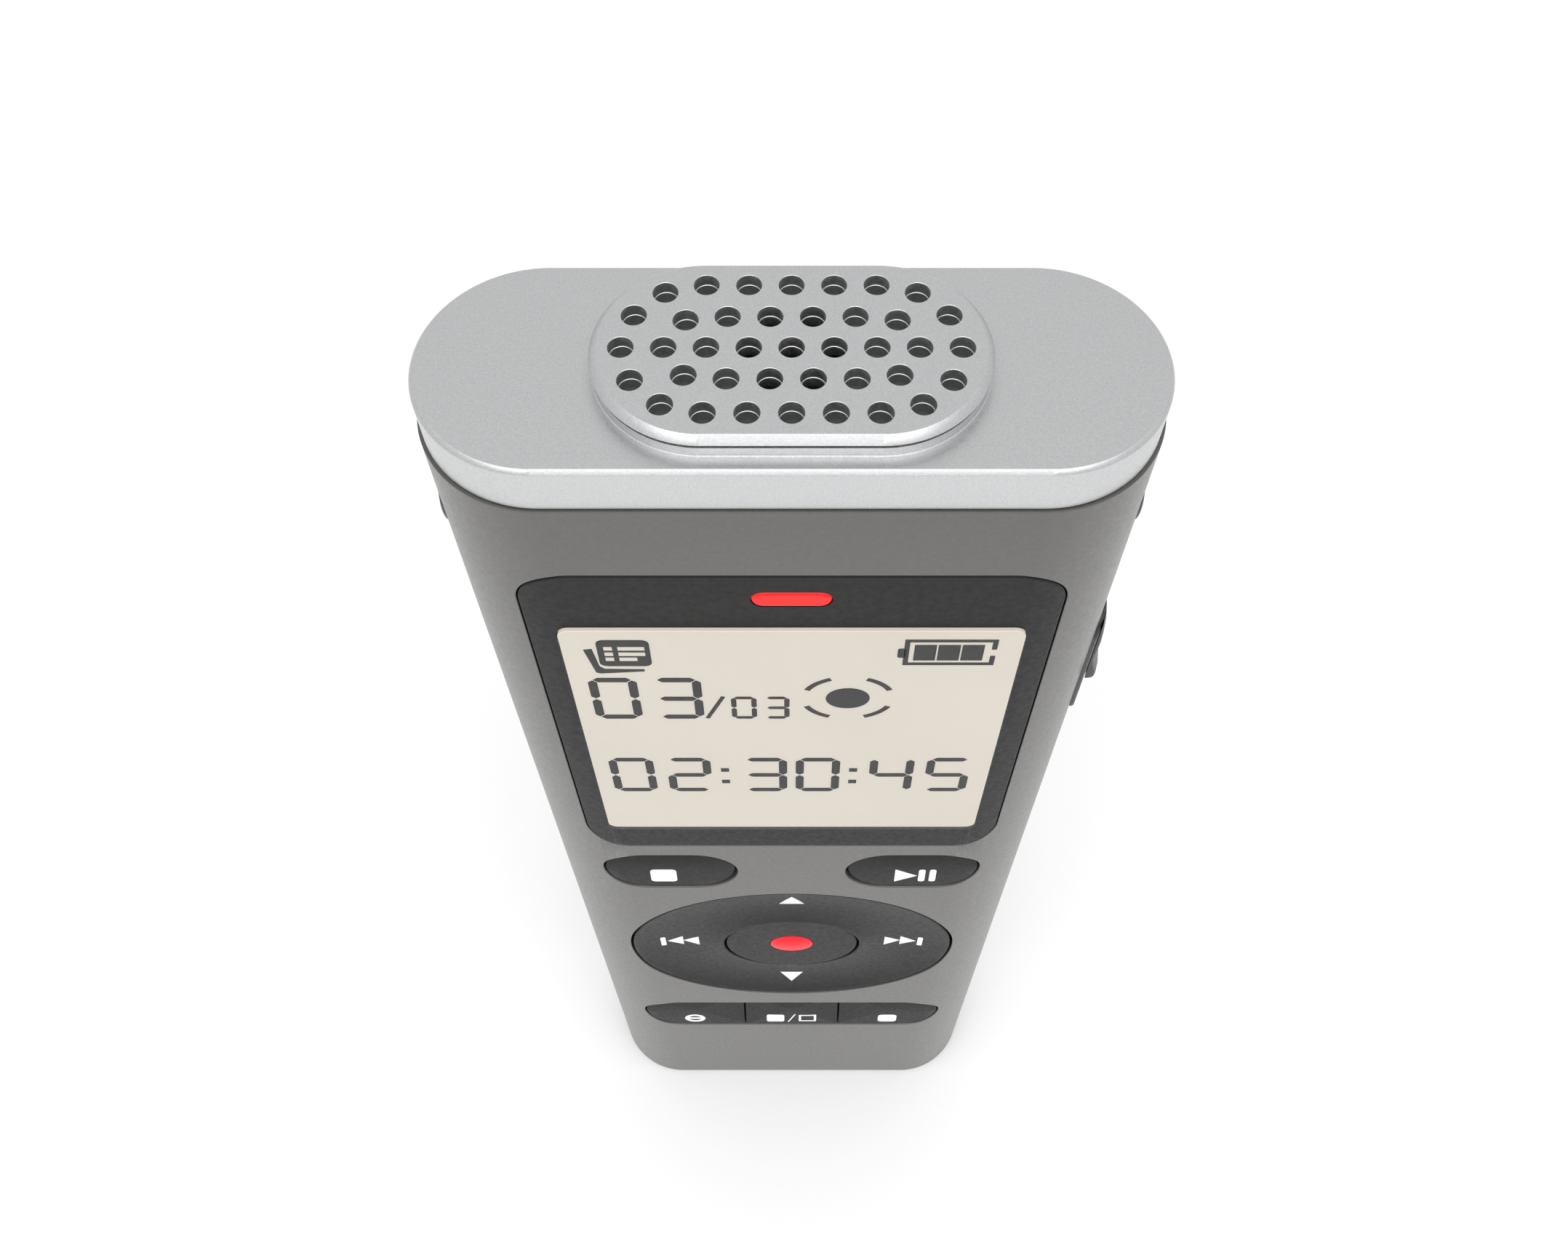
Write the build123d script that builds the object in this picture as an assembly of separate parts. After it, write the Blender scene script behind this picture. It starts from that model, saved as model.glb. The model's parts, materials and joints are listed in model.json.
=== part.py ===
from build123d import *
from math import cos, pi, radians, sin
import os

# A slim hand-held voice recorder standing on its lower end.
# Frame: origin at the centre of the lower end, +Z up to the microphone grille,
# the screen and keys face -Y, +X is the side with the slide switch. Millimetres.

# ---- Driving dimensions -------------------------------------------------------
BODY_W = 38.4
BODY_D = 13.4
BODY_H = 115.85
WALL = 1.3
END_WALL = 1.5
FOOT_ROUND = 0.8
PART_LINE_Y = 3.4
PART_LINE_GAP = 0.05

CAP_W = 38.0
CAP_D = 13.1
CAP_H = 3.0
CAP_BEVEL = 0.22
SEAL_H = 0.15
SEAL_INSET = 0.35

GRILLE_W = 19.94
GRILLE_D = 11.26
GRILLE_BASE_H = 0.635
GRILLE_NECK_H = 0.25
GRILLE_PLATE_H = 0.44
GRILLE_NECK_INSET = 0.42
HOLE_PITCH = 2.09
HOLE_R = 0.64
INNER_RING_R = 0.926 * HOLE_PITCH
OUTER_RING_R = 1.905 * HOLE_PITCH
MIC_PORT_R = 2.95

BEZEL_W = 29.9
BEZEL_H = 38.6
BEZEL_Z = 90.5
BEZEL_CORNER = 3.2
BEZEL_T = 0.8
BEZEL_GAP = 0.07

SCREEN_W = 26.3
SCREEN_H = 28.9
SCREEN_Z = 89.85
SCREEN_PROUD = 0.45
SCREEN_CORNER = 0.7
WINDOW_T = 0.2
LCD_T = 1.1
SCREEN_GAP = 0.05

LAMP_W = 4.4
LAMP_H = 1.4
LAMP_Z = 107.4
LAMP_PROUD = 0.05

KEY_GAP = 0.15
KEY_TOP_RECESS = 1.0
KEY_FOOT_RECESS = 0.06
KEY_SKIN = 0.05
UPPER_KEY_W = 10.45
UPPER_KEY_H = 7.0
UPPER_KEY_X = 9.8
UPPER_KEY_Z = 65.6
LOWER_SLOT_W = 29.7
LOWER_SLOT_H = 8.1
LOWER_SLOT_Z = 24.6
LOWER_SPLIT_X = 4.75

NAV_Z = 46.25
NAV_R = 14.05
NAV_INNER_R = 6.0
NAV_GAP = 0.2
NAV_BACK_Y = -5.15
NAV_DISH = 0.72
NAV_OUTER_RECESS = 0.05
NAV_INNER_RECESS = 0.3
RECORD_R = 5.85
RECORD_RECESS = 0.41
RECORD_TILT = 1.9
DOT_R = 1.87
DOT_DOME = 0.3

JACK_Z = 109.5
JACK_BORE_R = 1.8
JACK_BODY = 4.2
JACK_INNER_X = 6.5
JACK_BORE_END_X = 7.5
COLLAR_R = 2.5
COLLAR_FACE_X = 18.97

SWITCH_BOTTOM_Z = 85.3
SWITCH_TOP_Z = 97.2
SWITCH_W = 5.4
SWITCH_PROUD = 0.28
SLIDER_BOTTOM_Z = 90.05

BOARD_FRONT_Y = -2.4
BOARD_T = 1.0
BOARD_HALF_W = 16.5
BOARD_BOTTOM_Z = 2.0
BOARD_WIDE_TOP_Z = 105.9
BOARD_TOP_Z = 110.0
MAT_FRONT_Y = -4.2
MAT_BACK_Y = -3.6
STEM_END_Y = -3.2
DOME_H = 0.4

FLANGE_FRONT_Y = -5.3
FLANGE_BACK_Y = -4.8
STEM_R = 1.2
LOWER_STEM_X = {-1: -9.0, 0: 0.0, 1: 9.0}
NAV_STEM_R = 10.2
NAV_STEM_THICK_R = 0.9
NAV_TAB_FRONT_Y = -5.0
NAV_TAB_BACK_Y = -4.7
NAV_TAB_HALF_W = 6.0
PIVOT_OUTER_R = 8.4
PIVOT_INNER_R = 7.2
RECORD_BACK_Y = -4.65

CAP_SCREW_X = (-14.0, 14.0)
SHELL_SCREW_X = 10.0
SHELL_SCREW_Z = (6.2, 113.2)
BOSS_R = 1.55
SCREW_R = 0.8
SCREW_HEAD_R = 1.45
SCREW_HEAD_H = 0.9
SCREW_SEAT_Y = 4.3
SCREW_TIP_Y = -1.2

SPEAKER_Z = 88.0
SPEAKER_R = 8.0
SPEAKER_FRONT_Y = 2.2
SPEAKER_BACK_Y = 4.9
SLOT_ROWS = 7
SLOT_PITCH = 1.7
SLOT_W = 0.8
SLOT_FIELD_R = 6.6

SWITCH_SLOT_BOTTOM_Z = 89.7
SWITCH_SLOT_TOP_Z = 95.6
SWITCH_SLOT_HALF_W = 1.0
SWITCH_NECK_BOTTOM_Z = 93.0
SWITCH_NECK_TOP_Z = 95.4
SLIDER_RIDGE = 0.98
SLIDER_W = 4.8

USB_HALF_W = 3.8
USB_BACK_Y = 1.3
USB_TOP_Z = 5.8
USB_SHEET = 0.3

MIC_R = 3.0
MIC_BOTTOM_Z = 111.4
MIC_TOP_Z = 113.6
BOOT_WALL = 1.1

BATTERY_W = 28.0
BATTERY_H = 53.0
BATTERY_Z = 42.5
BATTERY_FRONT_Y = 0.7
BATTERY_BACK_Y = 4.9
CHIP_ROW_Z = 76.0
FAR = 30.0

# ---- Worked-out places ----------------------------------------------------------
FRONT_Y = -BODY_D / 2
INNER_FRONT_Y = FRONT_Y + WALL
INNER_BACK_Y = BODY_D / 2 - WALL
REAR_FRONT_Y = PART_LINE_Y + PART_LINE_GAP
BODY_R = BODY_D / 2
SIDE_AXIS_X = (BODY_W - BODY_D) / 2
INNER_SIDE_X = BODY_W / 2 - WALL
CAP_BOTTOM_Z = BODY_H + SEAL_H
CAP_TOP_Z = CAP_BOTTOM_Z + CAP_H
GRILLE_NECK_Z = CAP_TOP_Z + GRILLE_BASE_H
GRILLE_PLATE_Z = GRILLE_NECK_Z + GRILLE_NECK_H
BOARD_BACK_Y = BOARD_FRONT_Y + BOARD_T
WINDOW_FRONT_Y = FRONT_Y - SCREEN_PROUD
LCD_FRONT_Y = WINDOW_FRONT_Y + WINDOW_T + SCREEN_GAP
LCD_BACK_Y = LCD_FRONT_Y + LCD_T
NAV_STEMS = [(NAV_STEM_R * cos(radians(a)), NAV_STEM_R * sin(radians(a))) for a in (0, 90, 180, 270)]
SHELL_SCREW_PLACES = [(side * SHELL_SCREW_X, z) for z in SHELL_SCREW_Z for side in (-1, 1)]
JACK_OUTER_X = SIDE_AXIS_X + 5.3


# ---- Shared shapes -----------------------------------------------------------------
def stadium(width, depth, bottom, top):
    """Upright solid whose plan is a slot with full round ends."""
    return Pos(0, 0, bottom) * extrude(SlotOverall(width, depth), top - bottom)


def inset_body(inset, bottom, top):
    """The body's own outline moved inwards by inset."""
    return stadium(BODY_W - 2 * inset, BODY_D - 2 * inset, bottom, top)


def facing(sketch, x, z, front_y, back_y):
    """Prism of a sketch that faces -Y, between two depths."""
    plane = Plane(origin=(x, back_y, z), x_dir=(1, 0, 0), z_dir=(0, -1, 0))
    return plane * extrude(sketch, back_y - front_y)


def disc_y(x, z, radius, front_y, back_y):
    """Round bar along Y."""
    return facing(Circle(radius), x, z, front_y, back_y)


def disc_z(x, y, radius, bottom, top):
    """Round bar along Z."""
    return Pos(x, y, bottom) * extrude(Circle(radius), top - bottom)


def block(x0, x1, y0, y1, z0, z1):
    """Box between two corners."""
    return Pos((x0 + x1) / 2, (y0 + y1) / 2, (z0 + z1) / 2) * Box(x1 - x0, y1 - y0, z1 - z0)


def bar_x(side, y, z, radius, x_from, x_to):
    """Round bar along X on one side, between two distances from the middle."""
    plane = Plane(origin=(side * x_from, y, z), x_dir=(0, 1, 0), z_dir=(side, 0, 0))
    return plane * extrude(Circle(radius), x_to - x_from)


def body_band(outer_inset, inner_inset, bottom, top):
    """Sleeve between two insets of the body outline."""
    return inset_body(outer_inset, bottom, top) - inset_body(inner_inset, bottom - 1, top + 1)


# ---- Key outlines ------------------------------------------------------------------
def upper_key_sketch(grow):
    return SlotOverall(UPPER_KEY_W + 2 * grow, UPPER_KEY_H + 2 * grow)


def lower_slot_sketch(grow):
    return SlotOverall(LOWER_SLOT_W + 2 * grow, LOWER_SLOT_H + 2 * grow)


def lower_key_sketch(place, grow_z):
    """One third of the lower slot: place is -1, 0 or 1."""
    slot = SlotOverall(LOWER_SLOT_W - 2 * KEY_GAP, LOWER_SLOT_H - 2 * KEY_GAP + 2 * grow_z)
    half = LOWER_SPLIT_X - KEY_GAP / 2
    if place == 0:
        window = Rectangle(2 * half, 2 * LOWER_SLOT_H)
    else:
        inner = LOWER_SPLIT_X + KEY_GAP / 2
        outer = LOWER_SLOT_W / 2 + 1
        window = Pos(place * (inner + outer) / 2, 0) * Rectangle(outer - inner, 2 * LOWER_SLOT_H)
    return slot & window


# ---- Casing -----------------------------------------------------------------------
def hollow_body():
    outer = inset_body(0, 0, BODY_H)
    foot_edges = outer.edges().group_by(Axis.Z)[0]
    outer = fillet(foot_edges, FOOT_ROUND)
    return outer - inset_body(WALL, END_WALL, BODY_H - END_WALL)


def front_openings():
    """Everything that is cut through or into the front shell."""
    back = INNER_FRONT_Y + 1.6
    ahead = FRONT_Y - 1
    cuts = []
    bezel = RectangleRounded(BEZEL_W + 2 * BEZEL_GAP, BEZEL_H + 2 * BEZEL_GAP, BEZEL_CORNER + BEZEL_GAP)
    pocket = facing(bezel, 0, BEZEL_Z, ahead, 0) & body_band(-1, BEZEL_T, 0, BODY_H)
    cuts.append(pocket)
    cuts.append(facing(Rectangle(SCREEN_W + 0.8, SCREEN_H + 1.2), 0, SCREEN_Z, ahead, back))
    cuts.append(facing(SlotOverall(LAMP_W + 0.2, LAMP_H + 0.2), 0, LAMP_Z, ahead, back))
    for side in (-1, 1):
        cuts.append(facing(upper_key_sketch(0), side * UPPER_KEY_X, UPPER_KEY_Z, ahead, back))
    cuts.append(disc_y(0, NAV_Z, NAV_R + NAV_GAP, ahead, back))
    cuts.append(facing(lower_slot_sketch(0), 0, LOWER_SLOT_Z, ahead, back))
    return cuts


def switch_slot():
    """Slot through the right side wall, along which the switch's neck runs."""
    half = SWITCH_SLOT_HALF_W
    return block(INNER_SIDE_X - 1, FAR, -half, half, SWITCH_SLOT_BOTTOM_Z, SWITCH_SLOT_TOP_Z)


def side_openings():
    """Socket holes in both side walls and the slot of the slide switch."""
    cuts = []
    for side in (-1, 1):
        cuts.append(bar_x(side, 0, JACK_Z, COLLAR_R + 0.03, SIDE_AXIS_X + 3, BODY_W))
    cuts.append(switch_slot())
    return cuts


def end_openings():
    """Charging socket in the lower end, sound port and cap screws in the upper end."""
    half = USB_HALF_W + 0.3
    usb = block(-half, half, BOARD_BACK_Y - 0.2, USB_BACK_Y + 0.2, -1, END_WALL + 1)
    port = disc_z(0, 0, MIC_PORT_R, BODY_H - END_WALL - 1, BODY_H + 1)
    screws = [disc_z(x, 0, 0.9, BODY_H - END_WALL - 1, BODY_H + 1) for x in CAP_SCREW_X]
    return [usb, port] + screws


def front_shell():
    shell = hollow_body() - block(-FAR, FAR, PART_LINE_Y, FAR, -1, BODY_H + 1)
    for cut in front_openings() + side_openings() + end_openings():
        shell -= cut
    for x, z in SHELL_SCREW_PLACES:
        boss = disc_y(x, z, BOSS_R, INNER_FRONT_Y, PART_LINE_Y - 0.8) & inset_body(WALL / 2, 0, BODY_H)
        shell += boss - disc_y(x, z, SCREW_R, SCREW_TIP_Y - 0.3, PART_LINE_Y)
    return shell


def speaker_slots():
    """Rows of rounded slots inside a circle, in front of the loudspeaker."""
    slots = []
    for row in range(SLOT_ROWS):
        offset = (row - (SLOT_ROWS - 1) / 2) * SLOT_PITCH
        half = (SLOT_FIELD_R ** 2 - offset ** 2) ** 0.5
        slots.append(facing(SlotOverall(2 * half, SLOT_W), 0, SPEAKER_Z + offset, 4, BODY_D))
    return slots


def rear_shell():
    shell = hollow_body() - block(-FAR, FAR, -FAR, REAR_FRONT_Y, -1, BODY_H + 1)
    for cut in speaker_slots() + end_openings():
        shell -= cut
    for x, z in SHELL_SCREW_PLACES:
        pad = disc_y(x, z, BOSS_R + 0.6, REAR_FRONT_Y, BODY_R) & inset_body(WALL / 2, 0, BODY_H)
        shell += pad
        shell -= disc_y(x, z, SCREW_R + 0.1, 0, BODY_R + 1)
        shell -= disc_y(x, z, SCREW_HEAD_R + 0.15, SCREW_SEAT_Y, BODY_R + 1)
    return shell


def shell_screws():
    """Four pan-head screws, driven from the back."""
    screws = []
    for x, z in SHELL_SCREW_PLACES:
        head_y = SCREW_SEAT_Y + SCREW_HEAD_H
        screw = disc_y(x, z, SCREW_R - 0.02, SCREW_TIP_Y, SCREW_SEAT_Y)
        screw += disc_y(x, z, SCREW_HEAD_R, SCREW_SEAT_Y, head_y)
        for turn in (0, 90):
            screw -= Pos(x, head_y - 0.1, z) * Rot(0, turn, 0) * Box(SCREW_HEAD_R * 1.1, 0.6, 0.35)
        screws.append(screw)
    return Compound(children=screws)


# ---- Top end: cap, seal and microphone grille ------------------------------------
def top_cap():
    cap = stadium(CAP_W, CAP_D, CAP_BOTTOM_Z, CAP_TOP_Z)
    rim = cap.edges().group_by(Axis.Z)[-1]
    cap = chamfer(rim, CAP_BEVEL)
    cap -= disc_z(0, 0, MIC_PORT_R, CAP_BOTTOM_Z - 1, CAP_TOP_Z + 1)
    for x in CAP_SCREW_X:
        cap -= disc_z(x, 0, SCREW_R, CAP_BOTTOM_Z - 1, CAP_BOTTOM_Z + 2)
    return cap


def cap_seal():
    seal = inset_body(SEAL_INSET, BODY_H, CAP_BOTTOM_Z)
    seal -= disc_z(0, 0, MIC_PORT_R + 0.2, BODY_H - 1, CAP_BOTTOM_Z + 1)
    for x in CAP_SCREW_X:
        seal -= disc_z(x, 0, 1.0, BODY_H - 1, CAP_BOTTOM_Z + 1)
    return seal


def cap_screws():
    """Two screws that pull the cap down, driven from inside the body."""
    underside = BODY_H - END_WALL
    screws = []
    for x in CAP_SCREW_X:
        shank = disc_z(x, 0, SCREW_R - 0.02, underside, CAP_BOTTOM_Z + 1.8)
        screws.append(shank + disc_z(x, 0, SCREW_HEAD_R, underside - SCREW_HEAD_H, underside))
    return Compound(children=screws)


def ring_point(step, steps_per_quarter, ring_r, half_length):
    """Place on a slot-shaped path, counted in even steps from the middle of its long side."""
    straight = half_length - ring_r
    walked = abs(step) * (straight + ring_r * pi / 2) / steps_per_quarter
    if walked <= straight:
        x, y = walked, ring_r
    else:
        turn = (walked - straight) / ring_r
        x, y = straight + ring_r * sin(turn), ring_r * cos(turn)
    return (x if step >= 0 else -x), y


def hole_places():
    """A middle row of five, with two slot-shaped rings of holes round it."""
    places = [(k * HOLE_PITCH, 0) for k in (-2, -1, 0, 1, 2)]
    places += [(side * n * HOLE_PITCH, 0) for n in (3, 4) for side in (-1, 1)]
    for side in (-1, 1):
        for step in (-2.5, -1.5, -0.5, 0.5, 1.5, 2.5):
            x, y = ring_point(step, 3.5, INNER_RING_R, 3 * HOLE_PITCH)
            places.append((x, side * y))
        for step in range(-4, 5):
            x, y = ring_point(step, 5, OUTER_RING_R, 4 * HOLE_PITCH)
            places.append((x, side * y))
    return places


def drill_grille(plate, bottom, top):
    drills = [disc_z(x, y, HOLE_R, bottom - 1, top + 1) for x, y in hole_places()]
    return plate - drills


def grille_base():
    base = stadium(GRILLE_W, GRILLE_D, CAP_TOP_Z, GRILLE_NECK_Z)
    base = chamfer(base.edges().group_by(Axis.Z)[0], 0.12)
    return drill_grille(base, CAP_TOP_Z, GRILLE_NECK_Z)


def grille_plate():
    inset = 2 * GRILLE_NECK_INSET
    neck = stadium(GRILLE_W - inset, GRILLE_D - inset, GRILLE_NECK_Z, GRILLE_PLATE_Z)
    top = GRILLE_PLATE_Z + GRILLE_PLATE_H
    flange = stadium(GRILLE_W, GRILLE_D, GRILLE_PLATE_Z, top)
    flange = chamfer(flange.edges().group_by(Axis.Z)[-1], GRILLE_PLATE_H - 0.03)
    return drill_grille(neck + flange, GRILLE_NECK_Z, top)


def mic_foam():
    return disc_z(0, 0, MIC_PORT_R - 0.02, CAP_BOTTOM_Z + 0.4, CAP_BOTTOM_Z + 1.4)


def mic_capsule():
    can = disc_z(0, 0, MIC_R, MIC_BOTTOM_Z, MIC_TOP_Z)
    return can - disc_z(0, 0, 1.0, MIC_TOP_Z - 0.3, MIC_TOP_Z + 1)


def mic_boot():
    boot = disc_z(0, 0, MIC_R + BOOT_WALL, MIC_BOTTOM_Z - 1, BODY_H - END_WALL)
    boot -= disc_z(0, 0, MIC_R, MIC_BOTTOM_Z, MIC_TOP_Z)
    return boot - disc_z(0, 0, MIC_R - 0.6, MIC_TOP_Z - 1, BODY_H)


# ---- Screen -------------------------------------------------------------------------
def display_bezel():
    outline = facing(RectangleRounded(BEZEL_W, BEZEL_H, BEZEL_CORNER), 0, BEZEL_Z, FRONT_Y - 1, 0)
    bezel = outline & body_band(0, BEZEL_T, 0, BODY_H)
    screen = RectangleRounded(SCREEN_W + 0.06, SCREEN_H + 0.06, SCREEN_CORNER)
    bezel -= facing(screen, 0, SCREEN_Z, FRONT_Y - 1, 0)
    return bezel - facing(SlotOverall(LAMP_W + 0.06, LAMP_H + 0.06), 0, LAMP_Z, FRONT_Y - 1, 0)


def screen_pane(front_y, back_y):
    outline = RectangleRounded(SCREEN_W, SCREEN_H, SCREEN_CORNER)
    return facing(outline, 0, SCREEN_Z, front_y, back_y)


def display_window():
    return screen_pane(WINDOW_FRONT_Y, WINDOW_FRONT_Y + WINDOW_T)


def lcd_glass():
    return screen_pane(LCD_FRONT_Y, LCD_BACK_Y)


def lcd_reflector():
    return facing(Rectangle(SCREEN_W - 1, SCREEN_H - 1), 0, SCREEN_Z, LCD_BACK_Y, LCD_BACK_Y + 0.6)


def lcd_frame():
    """Tray that holds the reflector and locates the cell."""
    back = LCD_BACK_Y + 1.6
    frame = facing(Rectangle(SCREEN_W + 0.6, SCREEN_H + 1.0), 0, SCREEN_Z, LCD_BACK_Y, back)
    reflector = facing(Rectangle(SCREEN_W - 1, SCREEN_H - 1), 0, SCREEN_Z, LCD_BACK_Y - 1, LCD_BACK_Y + 0.6)
    hollow = facing(Rectangle(SCREEN_W - 3, SCREEN_H - 3), 0, SCREEN_Z, LCD_BACK_Y + 1.1, back + 1)
    return frame - reflector - hollow


def record_lamp_lens():
    bar = facing(SlotOverall(LAMP_W, LAMP_H), 0, LAMP_Z, FRONT_Y - LAMP_PROUD, -4.0)
    front = bar.edges().group_by(Axis.Y)[0]
    return fillet(front, 0.2)


def record_lamp():
    return block(-1.5, 1.5, -3.3, BOARD_FRONT_Y, LAMP_Z - 0.7, LAMP_Z + 0.7)


# ---- Keys ---------------------------------------------------------------------------
def key_flange(sketch, x, z):
    """Rim behind the wall that keeps the key in, trimmed to the inside of the body."""
    rim = facing(sketch, x, z, FLANGE_FRONT_Y, FLANGE_BACK_Y)
    return rim & inset_body(WALL + 0.1, 0, BODY_H)


def key_stem(x, z):
    return disc_y(x, z, STEM_R, FLANGE_BACK_Y, STEM_END_Y)


def sloped_key(sketch, x, z, height):
    """Key whose face lies flush at its foot and leans back to its top, trimmed to the casing's curve."""
    cap = facing(sketch, x, z, FRONT_Y, FLANGE_BACK_Y) & inset_body(KEY_SKIN, 0, BODY_H)
    foot = (FRONT_Y + KEY_FOOT_RECESS, z - height / 2)
    top = (FRONT_Y + KEY_TOP_RECESS, z + height / 2)
    ahead = FRONT_Y - 1
    wedge = Polyline(foot, top, (ahead, top[1]), (ahead, foot[1]), close=True)
    profile = Plane(origin=(-FAR, 0, 0), x_dir=(0, 1, 0), z_dir=(1, 0, 0)) * make_face(wedge)
    return cap - extrude(profile, 2 * FAR)


def upper_key(side):
    x = side * UPPER_KEY_X
    cap = sloped_key(upper_key_sketch(-KEY_GAP), x, UPPER_KEY_Z, UPPER_KEY_H)
    return cap + key_flange(upper_key_sketch(0.6), x, UPPER_KEY_Z) + key_stem(x, UPPER_KEY_Z)


def lower_key(place):
    cap = sloped_key(lower_key_sketch(place, 0), 0, LOWER_SLOT_Z, LOWER_SLOT_H)
    rim = key_flange(lower_key_sketch(place, 0.7), 0, LOWER_SLOT_Z)
    return cap + rim + key_stem(LOWER_STEM_X[place], LOWER_SLOT_Z)


def nav_dish():
    """The four-way ring's turned body: its front is hollowed by an arc from rim to rim."""
    inner = (NAV_INNER_R, FRONT_Y + NAV_INNER_RECESS)
    middle = ((NAV_INNER_R + NAV_R) / 2, FRONT_Y + NAV_DISH)
    outer = (NAV_R, FRONT_Y + NAV_OUTER_RECESS)
    front = ThreePointArc(inner, middle, outer)
    rest = Polyline(outer, (NAV_R, NAV_BACK_Y), (NAV_INNER_R, NAV_BACK_Y), inner)
    return Pos(0, 0, NAV_Z) * revolve(make_face(front.edges() + rest.edges()), Axis.Y)


def nav_ring():
    ring = nav_dish() & inset_body(0.04, 0, BODY_H)
    tabs = disc_y(0, NAV_Z, NAV_R + 0.8, NAV_TAB_FRONT_Y, NAV_TAB_BACK_Y)
    tabs += disc_y(0, NAV_Z, NAV_R, NAV_BACK_Y, NAV_TAB_FRONT_Y)
    tabs -= disc_y(0, NAV_Z, NAV_R - 1.5, NAV_BACK_Y - 1, NAV_TAB_BACK_Y + 1)
    ring += tabs & block(-NAV_TAB_HALF_W, NAV_TAB_HALF_W, FRONT_Y, 0, 0, BODY_H)
    ring -= disc_y(0, NAV_Z, NAV_INNER_R, FRONT_Y - 1, 0)
    for x, z in NAV_STEMS:
        ring += disc_y(x, NAV_Z + z, NAV_STEM_THICK_R, NAV_BACK_Y, STEM_END_Y)
    return ring


def nav_pivot():
    """Thin gimbal washer between the ring and the mat, clear of the stems."""
    washer = disc_y(0, NAV_Z, PIVOT_OUTER_R, -4.9, -4.6)
    return washer - disc_y(0, NAV_Z, PIVOT_INNER_R, FRONT_Y, 0)


def on_record_face(thing):
    """Moves a thing made round the origin onto the centre key's face, which leans back to its top."""
    return Pos(0, FRONT_Y + RECORD_RECESS, NAV_Z) * Rot(-RECORD_TILT, 0, 0) * thing


def record_key():
    key = disc_y(0, NAV_Z, RECORD_R, FRONT_Y - 1, RECORD_BACK_Y)
    key -= on_record_face(disc_y(0, 0, 2 * RECORD_R, -3, 0))
    key = fillet(key.faces().sort_by(Axis.Y)[0].edges(), 0.15)
    key += disc_y(0, NAV_Z, RECORD_R + 0.7, RECORD_BACK_Y - 0.3, RECORD_BACK_Y)
    key += disc_y(0, NAV_Z, STEM_R, RECORD_BACK_Y, STEM_END_Y)
    return key - on_record_face(disc_y(0, 0, DOT_R + 0.02, -1, 0.5))


def record_dot():
    """Red dome let into the centre key."""
    ball_r = (DOT_R ** 2 + DOT_DOME ** 2) / (2 * DOT_DOME)
    ball = Pos(0, ball_r - DOT_DOME, 0) * Sphere(ball_r)
    dome = ball & disc_y(0, 0, DOT_R, -1, 0)
    return on_record_face(dome + disc_y(0, 0, DOT_R, 0, 0.5))


def key_centres():
    """Where a stem presses: upper keys, centre key, ring, lower keys."""
    centres = [(side * UPPER_KEY_X, UPPER_KEY_Z) for side in (-1, 1)]
    centres += [(0, NAV_Z)] + [(x, NAV_Z + z) for x, z in NAV_STEMS]
    return centres + [(x, LOWER_SLOT_Z) for x in LOWER_STEM_X.values()]


def keypad_mat():
    mat = facing(RectangleRounded(29.6, 52.4, 2), 0, 44.8, MAT_FRONT_Y, MAT_BACK_Y)
    for x, z in key_centres():
        mat -= disc_y(x, z, 1.7, -5, -3)
    return mat


def dome_switches():
    domes = []
    for x, z in key_centres():
        dome = Solid.make_cone(2.1, 1.1, DOME_H, Plane(origin=(x, BOARD_FRONT_Y, z), z_dir=(0, -1, 0)))
        domes.append(dome)
    return Compound(children=domes)


# ---- Sockets and switch ----------------------------------------------------------
def socket_collar(side):
    ring = bar_x(side, 0, JACK_Z, COLLAR_R, JACK_OUTER_X, COLLAR_FACE_X)
    outer = ring.edges().filter_by(GeomType.CIRCLE).sort_by(Axis.X)[-1 if side > 0 else 0]
    ring = fillet(outer, 0.3)
    return ring - bar_x(side, 0, JACK_Z, JACK_BORE_R, 0, FAR)


def jack_socket(side):
    half = JACK_BODY / 2
    lo, hi = sorted((side * JACK_INNER_X, side * JACK_OUTER_X))
    body = block(lo, hi, -half, half, JACK_Z - half, JACK_Z + half) & inset_body(WALL + 0.05, 0, BODY_H)
    return body - bar_x(side, 0, JACK_Z, JACK_BORE_R, JACK_BORE_END_X, FAR)


def side_patch(width, bottom, top):
    """Rounded outline seen from +X, pushed through the right side wall."""
    plane = Plane(origin=(14, 0, (bottom + top) / 2), x_dir=(0, 1, 0), z_dir=(1, 0, 0))
    return plane * extrude(RectangleRounded(width, top - bottom, width * 0.3), 10)


def switch_surround():
    plate = side_patch(SWITCH_W, SWITCH_BOTTOM_Z, SWITCH_TOP_Z)
    plate = plate & body_band(-SWITCH_PROUD, 0.0, 0, BODY_H)
    return plate - switch_slot()


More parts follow.
